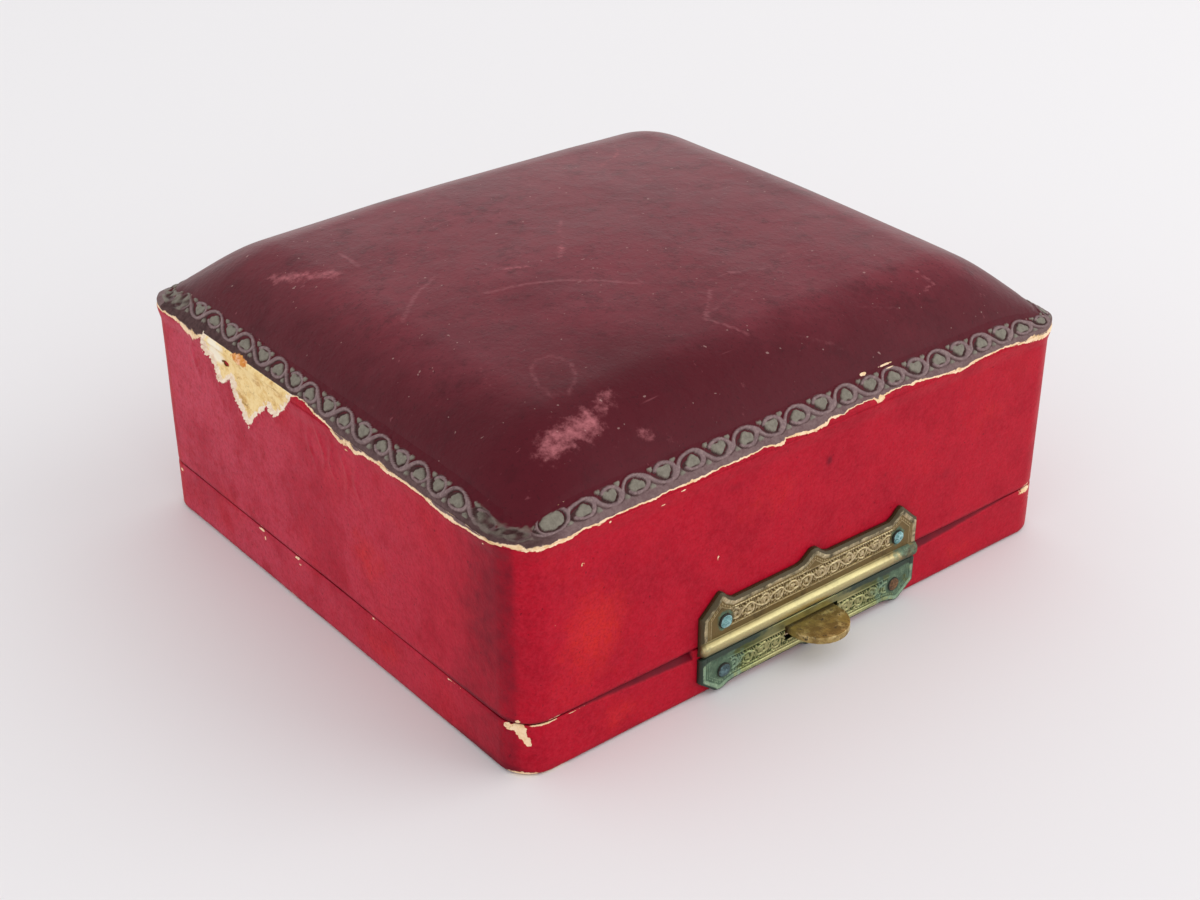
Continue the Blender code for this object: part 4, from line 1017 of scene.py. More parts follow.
# Painted shadow: a dark line round each stem and leaf, also pressed in a little.
outline = np.exp(-((stems - 0.33) / 0.09) ** 2) * inside * (1 - 0.6 * muddled)
skin = smooth_step(height, 0.0, 0.30) * (1 - pit)
on_left = on_left_side(x0)
edge = torn_edge(t, slope)
grey_band = np.where(on_left, np.interp(y0, (-38, -30, 0, 5), (0.85, 0.55, 0.55, 0.9)), 0.12)
grey_band = np.maximum(grey_band, 0.75 * between(from_corner, -30, -9, -1, 3))
grey_band = grey_band * smooth_step(edge, 0.9, 1.25) * (1 - smooth_step(height, 0.0, 0.3))
ground = np.max((pit, grey_band, 0.85 * outline), axis=0)
tear = np.where(on_left, depth_inside(y0, RIM + slope, TEAR), FAR)
raised = np.maximum(rounded_ridge(stems, 0.30) * inside, 0.95 * leaf)
relief = STEM_RISE * raised * (1 - 0.3 * muddled)
relief = relief - PIT_DEPTH * pit - 0.05 * outline + 0.12 * muddled * muddle
veins = 0.025 * leaf * np.sin(turns * 2 * math.pi * 19) * np.sin(height * 13)
paper_edge = 0.07 * (1 - smooth_step(edge, -0.05, 0.40))
lift = relief + veins + paper_edge - PRESSED_IN + 0.015 * waves(9, x0, y0, slope, size=1.4)
fibres = 0.04 * waves(17, t, slope, size=0.8) * (tear > 0)
lift = lift - 0.06 * smooth_step(tear, 0.0, 0.35) + fibres
crumb = spot(t, slope, (along_left(18.0), 0.75), (3.1, 1.35))
lift = lift + CRUMB_RISE * smooth_step(crumb, 0.25, 0.75) * (
    0.45 + 0.35 * waves(12, t, slope, size=1.1) + 0.2 * waves(18, t, slope, size=0.5))
chip = np.zeros_like(t)
for x_place, level, reach_x, reach_up, strength in CHIPS:
    mark = strength * spot(t, slope, (along_front(x_place), level), (reach_x, reach_up))
    chip = np.maximum(chip, mark)
lift = lift + CHIP_RISE * chip
outer = border_surface(t, slope, np.minimum(lift, -LEAST_SUNK))
back_slope = np.linspace(BORDER_TOP - 0.3, BORDER_FOOT + 0.1, 5)[:, None]
back_t, back_slope = np.broadcast_arrays(t[:1], back_slope)
inner = border_surface(back_t, back_slope, np.full(back_t.shape, -RIBBON_DEPTH))
pale = spot(y0, slope, (24.8, -0.4), (3.6, 2.6)) * on_left
border = wall(
    "tooled_border", outer, inner, {"edge": ABOVE_THE_TEAR, "tear": FAR}, edge=edge, tear=tear,
    stem=stem, leaf=leaf, ground=ground, skin=skin, crumb=crumb, chip=chip, pale=pale,
    dark=darkness(outer[..., 0], outer[..., 1]))
dress(border, tooled_leather, "dark_red_leather", "lid")

# %% [markdown]
# ## The lid's side covering
# A ring of thin red covering goes round the lid's wall. It bulges a little under the rim, has
# wrinkled beside the tear, and sinks to the board inside it. At the back it gives way to the
# hinges' barrels. Columns stand closer where the tear and the near corner need them.

# %% Side covering
WRINKLES = (
    (-2.0, 29.6, 0.16), (-4.4, 28.8, 0.13), (-7.6, 28.0, 0.12), (-10.4, 27.6, 0.09),
    (0.6, 28.4, 0.10), (31.6, 29.0, 0.08))
LIP_ROUND, LIP_REACH, BULGE, MOST_OUT = 0.20, 0.45, 0.36, 0.44
TEAR_DEPTH, TEAR_CURL = 0.42, 0.16
HINGES = (-26.0, 26.0)
HINGE_HALF = 7.3
HINGE_ROOM = 1.45


def round_columns(coarse, places):
    """Distances round the wall, at a finer step between the two ends of each place."""
    t = np.arange(0, AROUND, coarse)
    extra = [np.arange(low, high, step) for low, high, step in places]
    t = np.sort(np.concatenate([t] + extra) % AROUND)
    return t[np.diff(t, append=AROUND) > min(step for _, _, step in places) / 3]


def near_hinges(x, y):
    """1 where the back wall gives room to a hinge's barrel, and 0 elsewhere."""
    beside = np.min([np.abs(x - centre) for centre in HINGES], axis=0)
    return (beside < HINGE_HALF) & (y > HALF_Y - 1.0)


def lift_share(z):
    """How much of the room for the hinges a height gives way: all at the lip, none 6 mm up."""
    return np.clip(1 - (z - LID_BOTTOM) / 6, 0, 1)


def faded_side(x, y):
    """Painted sheen: the left side's red is lightened, more towards the back."""
    return on_left_side(x) * np.interp(y, (-44, -20, 20, 44), (0.20, 0.45, 0.70, 0.95))


def marks_on_wall(t, z, **sides):
    """The strongest of many marks at each place, each a spot on one of the sides.

    A mark is its place, height, reach along, reach up and strength. Its place is an x on the
    front, a y on the left or right, and a distance round the wall for those given as around.
    """
    ways = {"front": along_front, "left": along_left, "right": along_right, "around": float}
    worn = np.zeros_like(z)
    for side, marks in sides.items():
        for place, level, reach_t, reach_z, strength in marks:
            gap = round_gap(t, ways[side](place))
            worn = np.maximum(worn, strength * spot(gap, z, (0.0, level), (reach_t, reach_z)))
    return worn


tear_span = (along_left(33.0), along_left(-13.0), 0.20)
t = round_columns(0.40, [tear_span, (AROUND - 7.0, AROUND + 2.0, 0.15)])
LID_LIP, BASE_LIP = LID_BOTTOM - 0.07, BASE_TOP + 0.07
rising = np.concatenate((
    [LID_LIP, LID_LIP + 0.05, LID_LIP + 0.14, LID_BOTTOM + 0.30, LID_BOTTOM + 0.8],
    np.arange(LID_BOTTOM + 1.6, 22.0, 1.1), np.arange(22.2, 33.46, 0.25)))
t, z = np.meshgrid(t, rising)
x0, y0 = wall_point(t, 0.0)
on_left = on_left_side(x0)
tear = np.where(on_left, depth_inside(y0, z, TEAR), FAR)
inset = LIP_ROUND * np.clip(1 - (z - LID_LIP) / LIP_REACH, 0, 1) ** 2
inset = inset - BULGE * smooth_step(z, 31.2, 33.4)
inset = inset - 0.05 * waves(21, x0, y0, z, size=17.0)
for centre, level, height in WRINKLES:
    drift = centre + 0.16 * (z - level) + 0.5 * np.sin(z * 0.9 + centre)
    fold = np.exp(-((y0 - drift) / 0.55) ** 2) * spot(0 * z, z, (0, level), (1, 4.4))
    inset = inset - height * fold * on_left
rough = 0.05 * waves(5, t, z, size=1.1) + 0.07 * waves(6, t, z, size=3.0)
inset = inset + TEAR_DEPTH * smooth_step(tear, 0.0, 0.35) + rough * (tear > 0.4)
inset = inset - TEAR_CURL * np.exp(-(tear / 0.45) ** 2) * on_left
edge = torn_edge(t, z - RIM)
inset = inset - 0.04 * (1 - smooth_step(edge, -0.05, 0.4)) * smooth_step(z, 31.0, 32.0)
inset = np.maximum(inset, -MOST_OUT)
room = near_hinges(x0, y0) * (PARTING + HINGE_ROOM - LID_BOTTOM)
z = z + room * lift_share(z)
print("side covering:", z.shape, "places")

# %% [markdown]
# ## Wear, dirt and painted light on the lid's side
# Chips and rubs sit where they were read off the picture, as spots with a place on a side, a
# height, a reach each way and a strength. A few spilt stains darken the red. Painted shade
# darkens the lid's lower edge along the parting line and a broad band beside the near corner, and
# a painted sheen lightens the left side towards the back.

# %% Side covering's wear
wear = marks_on_wall(
    t, z,
    front=((-16.8, 20.8, 0.42, 0.55, 1.0), (-38.8, 28.6, 0.45, 0.40, 0.75),
        (-26.3, 32.2, 0.85, 0.30, 0.72), (-35.0, 33.2, 0.30, 0.45, 0.85),
        (-23.4, 33.2, 0.60, 0.14, 0.80), (10.9, 32.9, 0.28, 0.32, 1.0),
        (-26.6, 13.1, 0.22, 0.16, 0.75), (-43.1, 21.5, 0.25, 0.2, 0.6),
        (-43.4, 8.0, 1.9, 0.10, 0.80), (44.8, 8.2, 2.0, 0.4, 0.6)),
    left=((-8.4, 31.7, 0.7, 0.18, 0.80), (17.0, 8.05, 0.9, 0.16, 0.85),
        (7.2, 8.05, 0.7, 0.18, 0.85), (-36.0, 8.1, 2.2, 0.20, 0.55), (-22.0, 8.1, 1.0, 0.2, 0.6),
        (-38.3, 32.4, 0.5, 0.2, 0.8)),
    right=((20.0, 8.1, 3.0, 0.25, 0.6), (-12.0, 19.0, 0.5, 0.4, 0.8),
        (31.0, 26.5, 0.4, 0.5, 0.75)),
    around=((AROUND - 4.5, 8.3, 0.55, 0.45, 1.0), (STATIONS[2], 8.2, 2.2, 0.5, 0.8),
        (STATIONS[4] + 4, 8.2, 2.5, 0.5, 0.8), (STATIONS[4] + 30, 21.0, 0.5, 0.4, 0.8),
        (STATIONS[4] + 62, 30.0, 0.8, 0.3, 0.75), (LEFT_START - 2.7, 27.0, 0.85, 9.0, 0.74),
        (LEFT_START - 2.6, 12.0, 0.75, 7.0, 0.70)))
warmth = marks_on_wall(
    t, z,
    front=((-37.0, 18.0, 7.0, 9.0, 0.95), (-8.0, 26.0, 9.0, 5.0, 0.45),
        (34.0, 24.0, 8.0, 6.0, 0.35)),
    left=((-12.0, 17.0, 8.0, 7.0, 0.55),))
# Painted shade: darker along the lid's lower edge, at the parting line.
grime = 0.55 * (1 - smooth_step(z, LID_BOTTOM, LID_BOTTOM + 0.7))
corner = round_gap(t, 0.0)
# Painted shade: a broad darker band on the left side that deepens towards the near corner and
# fades round it.
shaded = between(corner, -27.0, -7.5, -5.2, -3.4)
grime = grime + (0.52 + 0.08 * waves(23, corner, z, size=12.0)) * shaded
spilt = marks_on_wall(
    t, z,
    front=((2.4, 27.8, 1.0, 1.3, 0.75), (-14.0, 30.0, 2.6, 1.2, 0.42),
        (26.0, 17.0, 3.0, 2.0, 0.42)),
    around=((AROUND - 6.2, 23.4, 0.8, 1.6, 0.55),))
grime = np.maximum(grime, spilt)
pale = spot(y0, z, (25.4, 32.0), (3.2, 2.2)) * on_left
# Painted shade: a dark hole under the border, also sunk 0.3 mm, at the tear's back end.
hole = spot(y0, z, (23.2, 31.3), (1.3, 0.75)) * on_left
outer = grid_of(*wall_point(t, inset + 0.30 * smooth_step(hole, 0.4, 0.8)), z)
inner_z = np.array([RIM - 0.1, 26.0, 16.0, LID_BOTTOM + 0.1])[:, None]
inner_z = inner_z + room[:4] * lift_share(inner_z)
inner = grid_of(*wall_point(t[:4], COVER), inner_z)
side_covering = wall(
    "side_covering", outer, inner, {"tear": FAR, "edge": FAR}, tear=tear, edge=edge, wear=wear,
    warm=warmth, grime=grime, pale=pale, hole=hole, faded=faded_side(x0, y0))
dress(side_covering, red_paper, "red_leather", "lid", "lid_side_cover")

# %% [markdown]
# ## The base's covering
# The base has the same red covering. Two shallow finger bevels run in its upper front edge,
# deepest beside the clasp and fading towards the corners, so that a thumb can lift the lid.
# The near corner and the lower edges are rubbed to the cream body.

# %% Base covering
BEVEL_START, BEVEL_END, BEVEL_DEPTH = 20.6, 42.0, 1.5
BASE_LIP_ROUND, BASE_LIP_REACH, CHIP_DEPTH = 0.18, 0.35, 0.22
FOOT = np.array((
    (1.50, 0.05), (1.00, 0.02), (0.62, 0.02), (0.34, 0.08), (0.15, 0.20), (0.05, 0.36),
    (0.01, 0.55), (0.0, 0.90)))
CORNER_CHIP = np.array((
    (-6.6, 7.3), (-5.4, 7.5), (-4.6, 8.4), (-3.9, 8.2), (-3.6, 7.0), (-2.9, 4.9), (-3.3, 4.7),
    (-4.2, 5.8), (-5.0, 6.6), (-6.4, 7.1), (-6.6, 7.3)))


def bevel_depth(x):
    """Depth of the finger bevel: full beside the clasp and falling evenly to nothing."""
    share = (np.abs(x) - BEVEL_START) / (BEVEL_END - BEVEL_START)
    return np.where((share >= 0) & (share <= 1), BEVEL_DEPTH * (1 - share), 0.0)


def drop_share(z):
    """How much of the room for the hinges a height gives way: all at the top, none at 3 mm."""
    return np.clip((z - 3.0) / (BASE_TOP - 3.0), 0, 1)


bevel_ends = [(along_front(x) - 0.5, along_front(x) + 0.5, 0.05)
              for x in (-BEVEL_START, BEVEL_START)]
t = round_columns(0.40, bevel_ends + [(AROUND - 8.0, AROUND + 3.0, 0.13)])
rising = np.concatenate((
    FOOT[:, 1], np.arange(1.5, 4.3, 0.55), np.arange(4.5, 7.35, 0.17),
    [7.42, 7.52, 7.60, 7.65, BASE_LIP]))
under = np.concatenate((FOOT[:, 0], np.zeros(len(rising) - len(FOOT))))[:, None]
t, z = np.meshgrid(t, rising)
x0, y0 = wall_point(t, 0.0)
on_front = y0 < -HALF_Y + 0.01
inset = under + BASE_LIP_ROUND * np.clip(1 - (BASE_LIP - z) / BASE_LIP_REACH, 0, 1) ** 2
bevel = np.where(on_front, np.maximum(0, z - (BASE_TOP - bevel_depth(x0))), 0.0)
inset = np.maximum(inset, bevel) - 0.04 * waves(31, x0, y0, z, size=15.0) * (bevel == 0)
corner = round_gap(t, 0.0)
chipped = smooth_step(depth_inside(corner, z, CORNER_CHIP), -0.25, 0.20)
inset = inset + CHIP_DEPTH * chipped + 0.05 * chipped * waves(33, corner, z, size=0.8)
room = near_hinges(x0, y0) * (BASE_TOP - PARTING + HINGE_ROOM)
z = z - room * drop_share(z)
wear = marks_on_wall(
    t, z,
    front=((-28.0, 4.1, 0.30, 0.22, 0.85), (-35.9, 1.4, 0.25, 0.20, 0.75),
        (-40.0, 7.5, 3.0, 0.10, 0.60), (44.5, 7.4, 2.4, 0.80, 0.90),
        (46.0, 5.8, 1.0, 0.60, 0.60), (20.7, 6.4, 0.30, 0.70, 0.60)),
    left=((16.6, 7.5, 1.2, 0.22, 0.95), (15.8, 6.5, 0.38, 0.55, 0.90),
        (7.0, 7.5, 0.8, 0.24, 0.95), (6.3, 6.8, 0.38, 0.50, 0.80), (-30.0, 7.5, 3.6, 0.20, 0.55),
        (-12.0, 7.5, 1.2, 0.22, 0.60), (10.0, 0.4, 8.0, 0.30, 0.50),
        (40.0, 6.8, 1.4, 0.60, 0.60)),
    right=((-30.0, 0.4, 6.0, 0.35, 0.55),),
    around=((AROUND - 3.9, 0.25, 3.2, 0.50, 0.95), (AROUND + 0.5, 0.10, 4.2, 0.24, 0.70),
        (AROUND - 1.2, 7.62, 3.4, 0.17, 0.85), (STATIONS[2], 0.3, 3.0, 0.5, 0.8),
        (STATIONS[4], 0.3, 3.0, 0.5, 0.8), (STATIONS[5] + 3, 0.3, 3.0, 0.4, 0.7),
        (STATIONS[3] + 3, 7.5, 2.0, 0.4, 0.7), (LEFT_START - 2.6, 3.0, 0.75, 3.5, 0.72)))
wear = np.maximum(wear, chipped)
warmth = marks_on_wall(
    t, z,
    front=((-32.0, 3.6, 7.0, 3.0, 0.6), (30.0, 3.0, 7.0, 2.4, 0.4)),
    left=((-14.0, 3.6, 8.0, 3.0, 0.5),))
# Darker towards the foot: dirt and painted shade near the floor. Painted shade in the finger
# bevels, under the lid's overhang.
grime = 0.40 * (1 - smooth_step(z, 0.3, 1.6)) + 0.75 * smooth_step(bevel, 0.0, 0.3)
# Painted shade: a broad darker band beside the near corner, as on the lid.
grime = grime + 0.50 * between(corner, -24.0, -6.5, -5.4, -3.2)
outer = grid_of(*wall_point(t, inset), z)
inner_z = np.array([BASE_TOP - 0.05, 4.0, 0.40, 0.30])[:, None]
inner_z = inner_z - room[:4] * drop_share(inner_z)
inner_inset = np.array((COVER, COVER, COVER, FOOT[0, 0]))[:, None] + 0 * t[:4]
inner_inset[0] += bevel[-1]
inner = grid_of(*wall_point(t[:4], inner_inset), inner_z)
untorn = np.full_like(z, FAR)
base_covering = wall(
    "base_covering", outer, inner, {"edge": FAR, "tear": FAR}, edge=untorn, tear=untorn,
    wear=wear, warm=warmth, grime=grime, faded=faded_side(x0, y0))
dress(base_covering, red_paper, "red_leather", "base", "base_cover")

# %% [markdown]
# ## Stamped brass
# The clasp plates are thin brass, stamped in a die and once gilt. Handling keeps the high
# places brown-gold, while soot and wax darken the grooves, and the colours add painted highlights
# on the high places and along the roll, and painted shade in the grooves and under the roll. Damp
# has turned the ends and the lower plate a chalky green, as copper does. The metal is a conductor
# with a soft gloss, and the green crust over it is dull and no metal at all.

# %% Stamped brass
def brass_material(name, bright, mid, groove, crust_low, dirt):
    """Aged brass: bright high places, dark grooves, and green crust where the piece says."""
    material, tree, shader = start_material(name)
    high = node(tree, "Attribute", attribute_name="high").outputs["Fac"]
    uneven = patches(tree, 1.5, 0.40, 0.66, rough=0.7)
    fine = patches(tree, 0.5, 0.45, 0.68, rough=0.7)
    tarnish = patches(tree, 3.4, 0.54, 0.70, rough=0.7)
    crust = frayed(tree, "crust", crust_low, crust_low + 0.22, size=1.6, depth=0.55)
    # This mask lays the dirt colour: soot near the edges, and painted shade under the roll and on
    # the plates' backs.
    soot = frayed(tree, "soot", 0.36, 0.74, size=1.5, depth=0.5)
    # Painted highlight: a pale band laid where the piece says, along the roll and on raised
    # places.
    glow = frayed(tree, "glow", 0.15, 0.90, size=3.0, depth=0.25)
    # The relief's height sets the colour: darker grooves and brighter raised places, partly soot
    # and rubbing, partly painted shade and highlight.
    level, raised = (
        node(tree, "MapRange", {"Value": high, "From Min": low, "From Max": top}).outputs[0]
        for low, top in ((0.05, 0.85), (0.55, 1.0)))
    rubbed = node(tree, "Math", {0: fine, 1: 0.45, 2: 0.40}, operation="MULTIPLY_ADD").outputs[0]
    lit = node(tree, "Math", {0: raised, 1: rubbed}, operation="MULTIPLY").outputs[0]
    sunken = node(tree, "Math", {0: 1.0, 1: level}, operation="SUBTRACT").outputs[0]
    metal = layered(
        tree, groove, (level, mid), (lit, bright), (tarnish, groove, 0.55),
        (glow, "BFB684", 0.80))
    green = layered(
        tree, "647E62", (fine, "86A07E"), (uneven, "465F4A"), (sunken, "26382C"),
        (lit, "8FA58A"))
    colour = layered(tree, metal, (crust, green), (soot, dirt))
    shine = layered(tree, 0.92, (tarnish, 0.70, 0.55), (crust, 0.05), (soot, 0.30))
    gloss = layered(
        tree, 0.34, (uneven, 0.44), (tarnish, 0.55, 0.55), (crust, 0.80), (soot, 0.55))
    connect(tree, shader, colour, gloss, shine, reliefs=((fine, 0.008), (tarnish, 0.02)))
    return material


upper_brass = brass_material(
    "gilt_stamped_brass", "F4E6BE", "927E50", "3E301A", 0.62, "453A20")
lower_brass = brass_material(
    "green_stamped_brass", "CAD096", "707A48", "2C3620", 0.42, "2C3B30")
print("metals:", upper_brass.name, lower_brass.name)

# %% [markdown]
# ## The clasp's plates
# Each plate is a relief over its outline: a rounded outer edge, a raised band that follows the
# outline, a line of tiny beads, and a field of scrolls between two fine lines. The upper one
# ends in a roll that hides the parting line. Columns run across the plate and rows go round
# its section, front and back, so that each plate is one closed body.

# %% Clasp plates
PLATE_HALF = 20.0
PLATE_FACE = -45.3
PLATE_BACK = -44.56
ROLL_RADIUS = 1.25
ROLL_CENTRE = -44.8
NAIL_PLACE, UPPER_NAILS, LOWER_NAILS = 16.0, 11.0, 3.2
UPPER_HEIGHT, LOWER_TOP, LOWER_HEIGHT = 7.75, 6.2, -6.05
PLATE_COLUMNS = 381
NAIL_SEAT = (1.3, 1.7)
EDGE_ROUND = (-45.08, -44.85)
# Soot and painted shade laid on the plates' backs and edges.
BACK_SOOT = 0.9
SLOT = ((-4.9, 4.9), (-47.5, -43.6), (2.9, 5.1))
UPPER_OUTLINE = np.array((
    (0.0, 1.0), (0.03, 0.985), (0.06, 0.92), (0.105, 0.83), (0.15, 0.80), (0.72, 0.785),
    (0.77, 0.86), (0.80, 0.95), (0.83, 1.0), (0.85, 0.98), (0.97, 0.68), (1.0, 0.62)))
LOWER_OUTLINE = np.array((
    (0.0, 1.0), (0.03, 0.99), (0.06, 0.93), (0.10, 0.88), (0.70, 0.88), (0.76, 0.92),
    (0.80, 0.98), (0.83, 1.0), (0.86, 0.98), (0.97, 0.70), (1.0, 0.62)))
SCROLL_TURN, SCROLL_HALF = 5.2, 1.18
SCROLL_RISE, SCROLL_GROUND = 0.20, 0.08
SCROLL_STEMS, SCROLL_LEAVES, _ = vine_pattern(
    SCROLL_TURN, SCROLL_HALF, swing=0.66, drop=0.16, ring=0.74, leaf=0.50, bud=0.24)


def plate_outline(shares, start, height):
    """Both halves of a plate's far edge, from its shares of the half width and the height."""
    right = np.stack((shares[:, 0] * PLATE_HALF, start + shares[:, 1] * height), axis=1)
    return np.concatenate((right[::-1] * (-1, 1), right[1:]))


def ridge(distance, width):
    """A soft raised line of a half width: a bell of the distance from it."""
    return np.exp(-(distance / width) ** 2 * 2)


def plate_relief(x, z, outline, near, field, band):
    """Height of the stamped relief, and the closeness to the plate's edge."""
    sides = np.array(((-PLATE_HALF, near), *outline, (PLATE_HALF, near)))
    points = np.stack((x.ravel(), z.ravel()), axis=1)
    gap = polyline_distance(points, sides).reshape(x.shape)
    beads = 0.5 + 0.5 * np.cos(2 * math.pi * x / 0.46)
    height = 0.15 * rounded_ridge(gap - band, 0.40)
    height = height + 0.09 * beads * ridge(gap - band - 0.68, 0.15)
    height = height + 0.07 * ridge(gap - band - 0.98, 0.08)
    low, high = field
    within = smooth_step(np.minimum(z - low, high - z), -0.05, 0.08)
    within = within * smooth_step(15.0 - np.abs(x), 0.0, 0.3)
    level = z - (low + high) / 2
    level = level + 0.10 * waves(41, x, z, size=1.6)
    turns = x / SCROLL_TURN + 0.25 + 0.030 * waves(42, x, z, size=1.9)
    stems = look_up(SCROLL_STEMS, turns, level, SCROLL_HALF)
    leaves = look_up(SCROLL_LEAVES, turns, level, SCROLL_HALF)
    tendrils = look_up(SCROLL_STEMS, 2 * turns + 0.4, 1.35 * level, SCROLL_HALF)
    scroll = np.maximum(rounded_ridge(stems, 0.19), 0.9 * smooth_step(leaves, -0.04, 0.14))
    scroll = np.maximum(scroll, 0.75 * rounded_ridge(tendrils, 0.17))
    fronds = smooth_step(np.cos(2 * math.pi * 11 * turns + 8 * stems), -0.2, 0.7)
    fronds = fronds * between(stems, 0.16, 0.22, 0.55, 0.85)
    scroll = np.maximum(scroll, 0.78 * fronds)
    height = height + (SCROLL_RISE * scroll - SCROLL_GROUND) * within
    frame = ridge(z - low + 0.16, 0.09) + ridge(z - high - 0.14, 0.09)
    height = height + 0.09 * frame * smooth_step(15.4 - np.abs(x), 0.0, 0.2)
    height = height - 0.26 * (1 - smooth_step(gap, 0.0, 0.26)) ** 2
    return height, gap


def plate_face(outline, start, foot, steps, field, band, nail_level):
    """A plate's front from a start to its outline, its relief left off round the nails.

    Gives the places across and up, the relief, the closeness to the edge and to a nail.
    """
    across = np.linspace(-PLATE_HALF, PLATE_HALF, PLATE_COLUMNS)
    end = np.interp(across, outline[:, 0], outline[:, 1])[:, None]
    x, share = np.meshgrid(across, np.linspace(0, 1, steps), indexing="ij")
    z = start + share * (end - start)
    height, gap = plate_relief(x, z, outline, foot, field, band)
    seat = np.hypot(np.abs(x) - NAIL_PLACE, z - nail_level)
    return x, z, height * smooth_step(seat, *NAIL_SEAT), gap, seat


def plate_body(x, z, height, foot):
    """Front rows, a rounded edge and back rows of a plate."""
    front = grid_of(x, PLATE_FACE - height, z)
    last = z[:, -1:]
    back_z = np.hstack((last, last, last, last * 0.5 + foot * 0.5, 0 * last + foot))
    back = grid_of(x[:, :1], np.array(EDGE_ROUND + 3 * (PLATE_BACK,)), back_z)
    return np.concatenate((front, back), axis=1), np.zeros(back_z.shape)


def build_upper_plate():
    """The lid's plate: the roll's arc first, then the relief up to the outline."""
    outline = plate_outline(UPPER_OUTLINE, PARTING, UPPER_HEIGHT)
    roll_end = math.pi - math.asin((ROLL_CENTRE - PLATE_FACE) / ROLL_RADIUS)
    start, foot = PARTING - ROLL_RADIUS * math.cos(roll_end) + 0.05, PARTING - ROLL_RADIUS
    x, z, height, gap, seat = plate_face(
        outline, start, foot, 60, (10.02, 12.38), 0.62, UPPER_NAILS)
    face, back = plate_body(x, z, height, foot)
    across, angle = x[:, :1], np.linspace(0.0, roll_end, 22)[None, :]
    ends = 0.3 * (1 - smooth_step(PLATE_HALF - np.abs(across), 0, 0.4))
    radius = ROLL_RADIUS - ends - 0.03 * np.cos(angle * 14) * (angle > 1.9)
    roll = grid_of(
        across, ROLL_CENTRE - radius * np.sin(angle), PARTING - radius * np.cos(angle))
    clean = np.interp(
        across, (-20, -14, -4, 6, 10, 17, 20), (0.35, 0.6, 0.95, 1.0, 0.72, 0.2, 0.1))
    far = smooth_step(np.abs(x), 16.5, 19.0)
    soot = 0.80 * (1 - smooth_step(gap, 0.10, 0.45)) + 0.35 * far * smooth_step(z, 13.0, 15.0)
    soot = soot + 0.54 * (1 - smooth_step(gap, 0.8, 1.5))
    halo = 0.80 * np.exp(-(np.clip(seat - 1.1, 0, None) / 0.9) ** 2)
    # On the roll, the brightness and the pale band follow the arc's angle: a painted highlight
    # along the roll. The darker underside is painted shade, and the ends' dirt and crust are
    # real.
    on_roll = {
        "high": 0.25 + 0.55 * np.exp(-((angle - 1.9) / 0.55) ** 2),
        "soot": np.maximum(0.8 * np.clip(1 - angle, 0, 1), 0.75 * (1 - clean) ** 2),
        "crust": 0.08 + 0.95 * (1 - clean) ** 1.5,
        "glow": clean * np.exp(-((angle - 1.75) / 0.75) ** 2) + 0.25}
    on_face = {
        "high": np.clip(0.52 + height / 0.24, 0, 1), "soot": soot,
        "crust": np.maximum(0.28 * far + 0.05, halo), "glow": np.zeros_like(x)}
    features = {name: np.hstack((np.broadcast_to(on_roll[name], roll.shape[:2]), on_face[name],
                                 back + (BACK_SOOT if name == "soot" else 0.0)))
                for name in on_roll}
    return surface("upper_clasp_plate", np.concatenate((roll, face), axis=1),
                   closed=(False, True), capped=True, **features)


def build_lower_plate():
    """The base's plate, hung from its straight upper edge down to the outline."""
    outline = plate_outline(LOWER_OUTLINE, LOWER_TOP, LOWER_HEIGHT)
    x, z, height, gap, _ = plate_face(
        outline, LOWER_TOP, LOWER_TOP, 58, (2.22, 4.58), 0.50, LOWER_NAILS)
    face, back = plate_body(x, z, height, LOWER_TOP)
    high = np.clip(0.46 + height / 0.24, 0, 1)
    far = smooth_step(np.abs(x), 6.0, 17.0)
    from_tab = 0.35 + 0.45 * smooth_step(np.abs(x + 1.0), 3.0, 12.0)
    # Painted shade: a darker strip along the top, under the upper plate's roll, less beside the
    # tab.
    soot = 0.85 * (1 - smooth_step(gap, 0.10, 0.50)) + from_tab * smooth_step(z, 5.0, 5.8)
    soot = soot + 0.34 * (1 - smooth_step(gap, 0.7, 1.3))
    # Painted highlight on the raised places in the middle of the plate.
    glow = 0.7 * (1 - far) * smooth_step(high, 0.2, 0.6)
    return surface(
        "lower_clasp_plate", face, closed=(False, True), capped=True,
        high=np.hstack((high, back)), soot=np.hstack((soot, back + BACK_SOOT)),
        crust=np.hstack((0.12 + 0.56 * far, back)), glow=np.hstack((glow, back)))


def cut_slot(item):
    """Cut the slot of the thumb tab through a finished piece, with a box."""
    (left, right), (front, back), levels = SLOT
    loops = np.array([[(left, front, z), (right, front, z), (right, back, z), (left, back, z)]
                      for z in levels])
    tool = surface("slot_tool", loops, closed=(False, True), capped=True)
    cut = item.modifiers.new("slot", "BOOLEAN")
    cut.operation = "DIFFERENCE"
    cut.solver = "EXACT"
    cut.object = tool
    graph = bpy.context.evaluated_depsgraph_get()
    finished = bpy.data.meshes.new_from_object(item.evaluated_get(graph))
    item.modifiers.clear()
    item.data = finished
    bpy.data.objects.remove(tool, do_unlink=True)


upper_plate = build_upper_plate()
dress(upper_plate, upper_brass, "stamped_brass", "lid", "clasp_lid_plate")
lower_plate = build_lower_plate()
cut_slot(lower_plate)
dress(lower_plate, lower_brass, "stamped_brass", "base", "clasp_base_plate")
cut_slot(base_covering)
dress(base_covering, red_paper, "red_leather", "base", "base_cover")

# %% [markdown]
# ## Nails and verdigris
# Four small brass nails hold the plates. Three have grown a blue-green crust, verdigris, which
# is chalky and lumpy; the lower right one has sunk and gone brown. A nail is a profile turned
# about its axis: a low dome, its edge, and a shank that goes in.

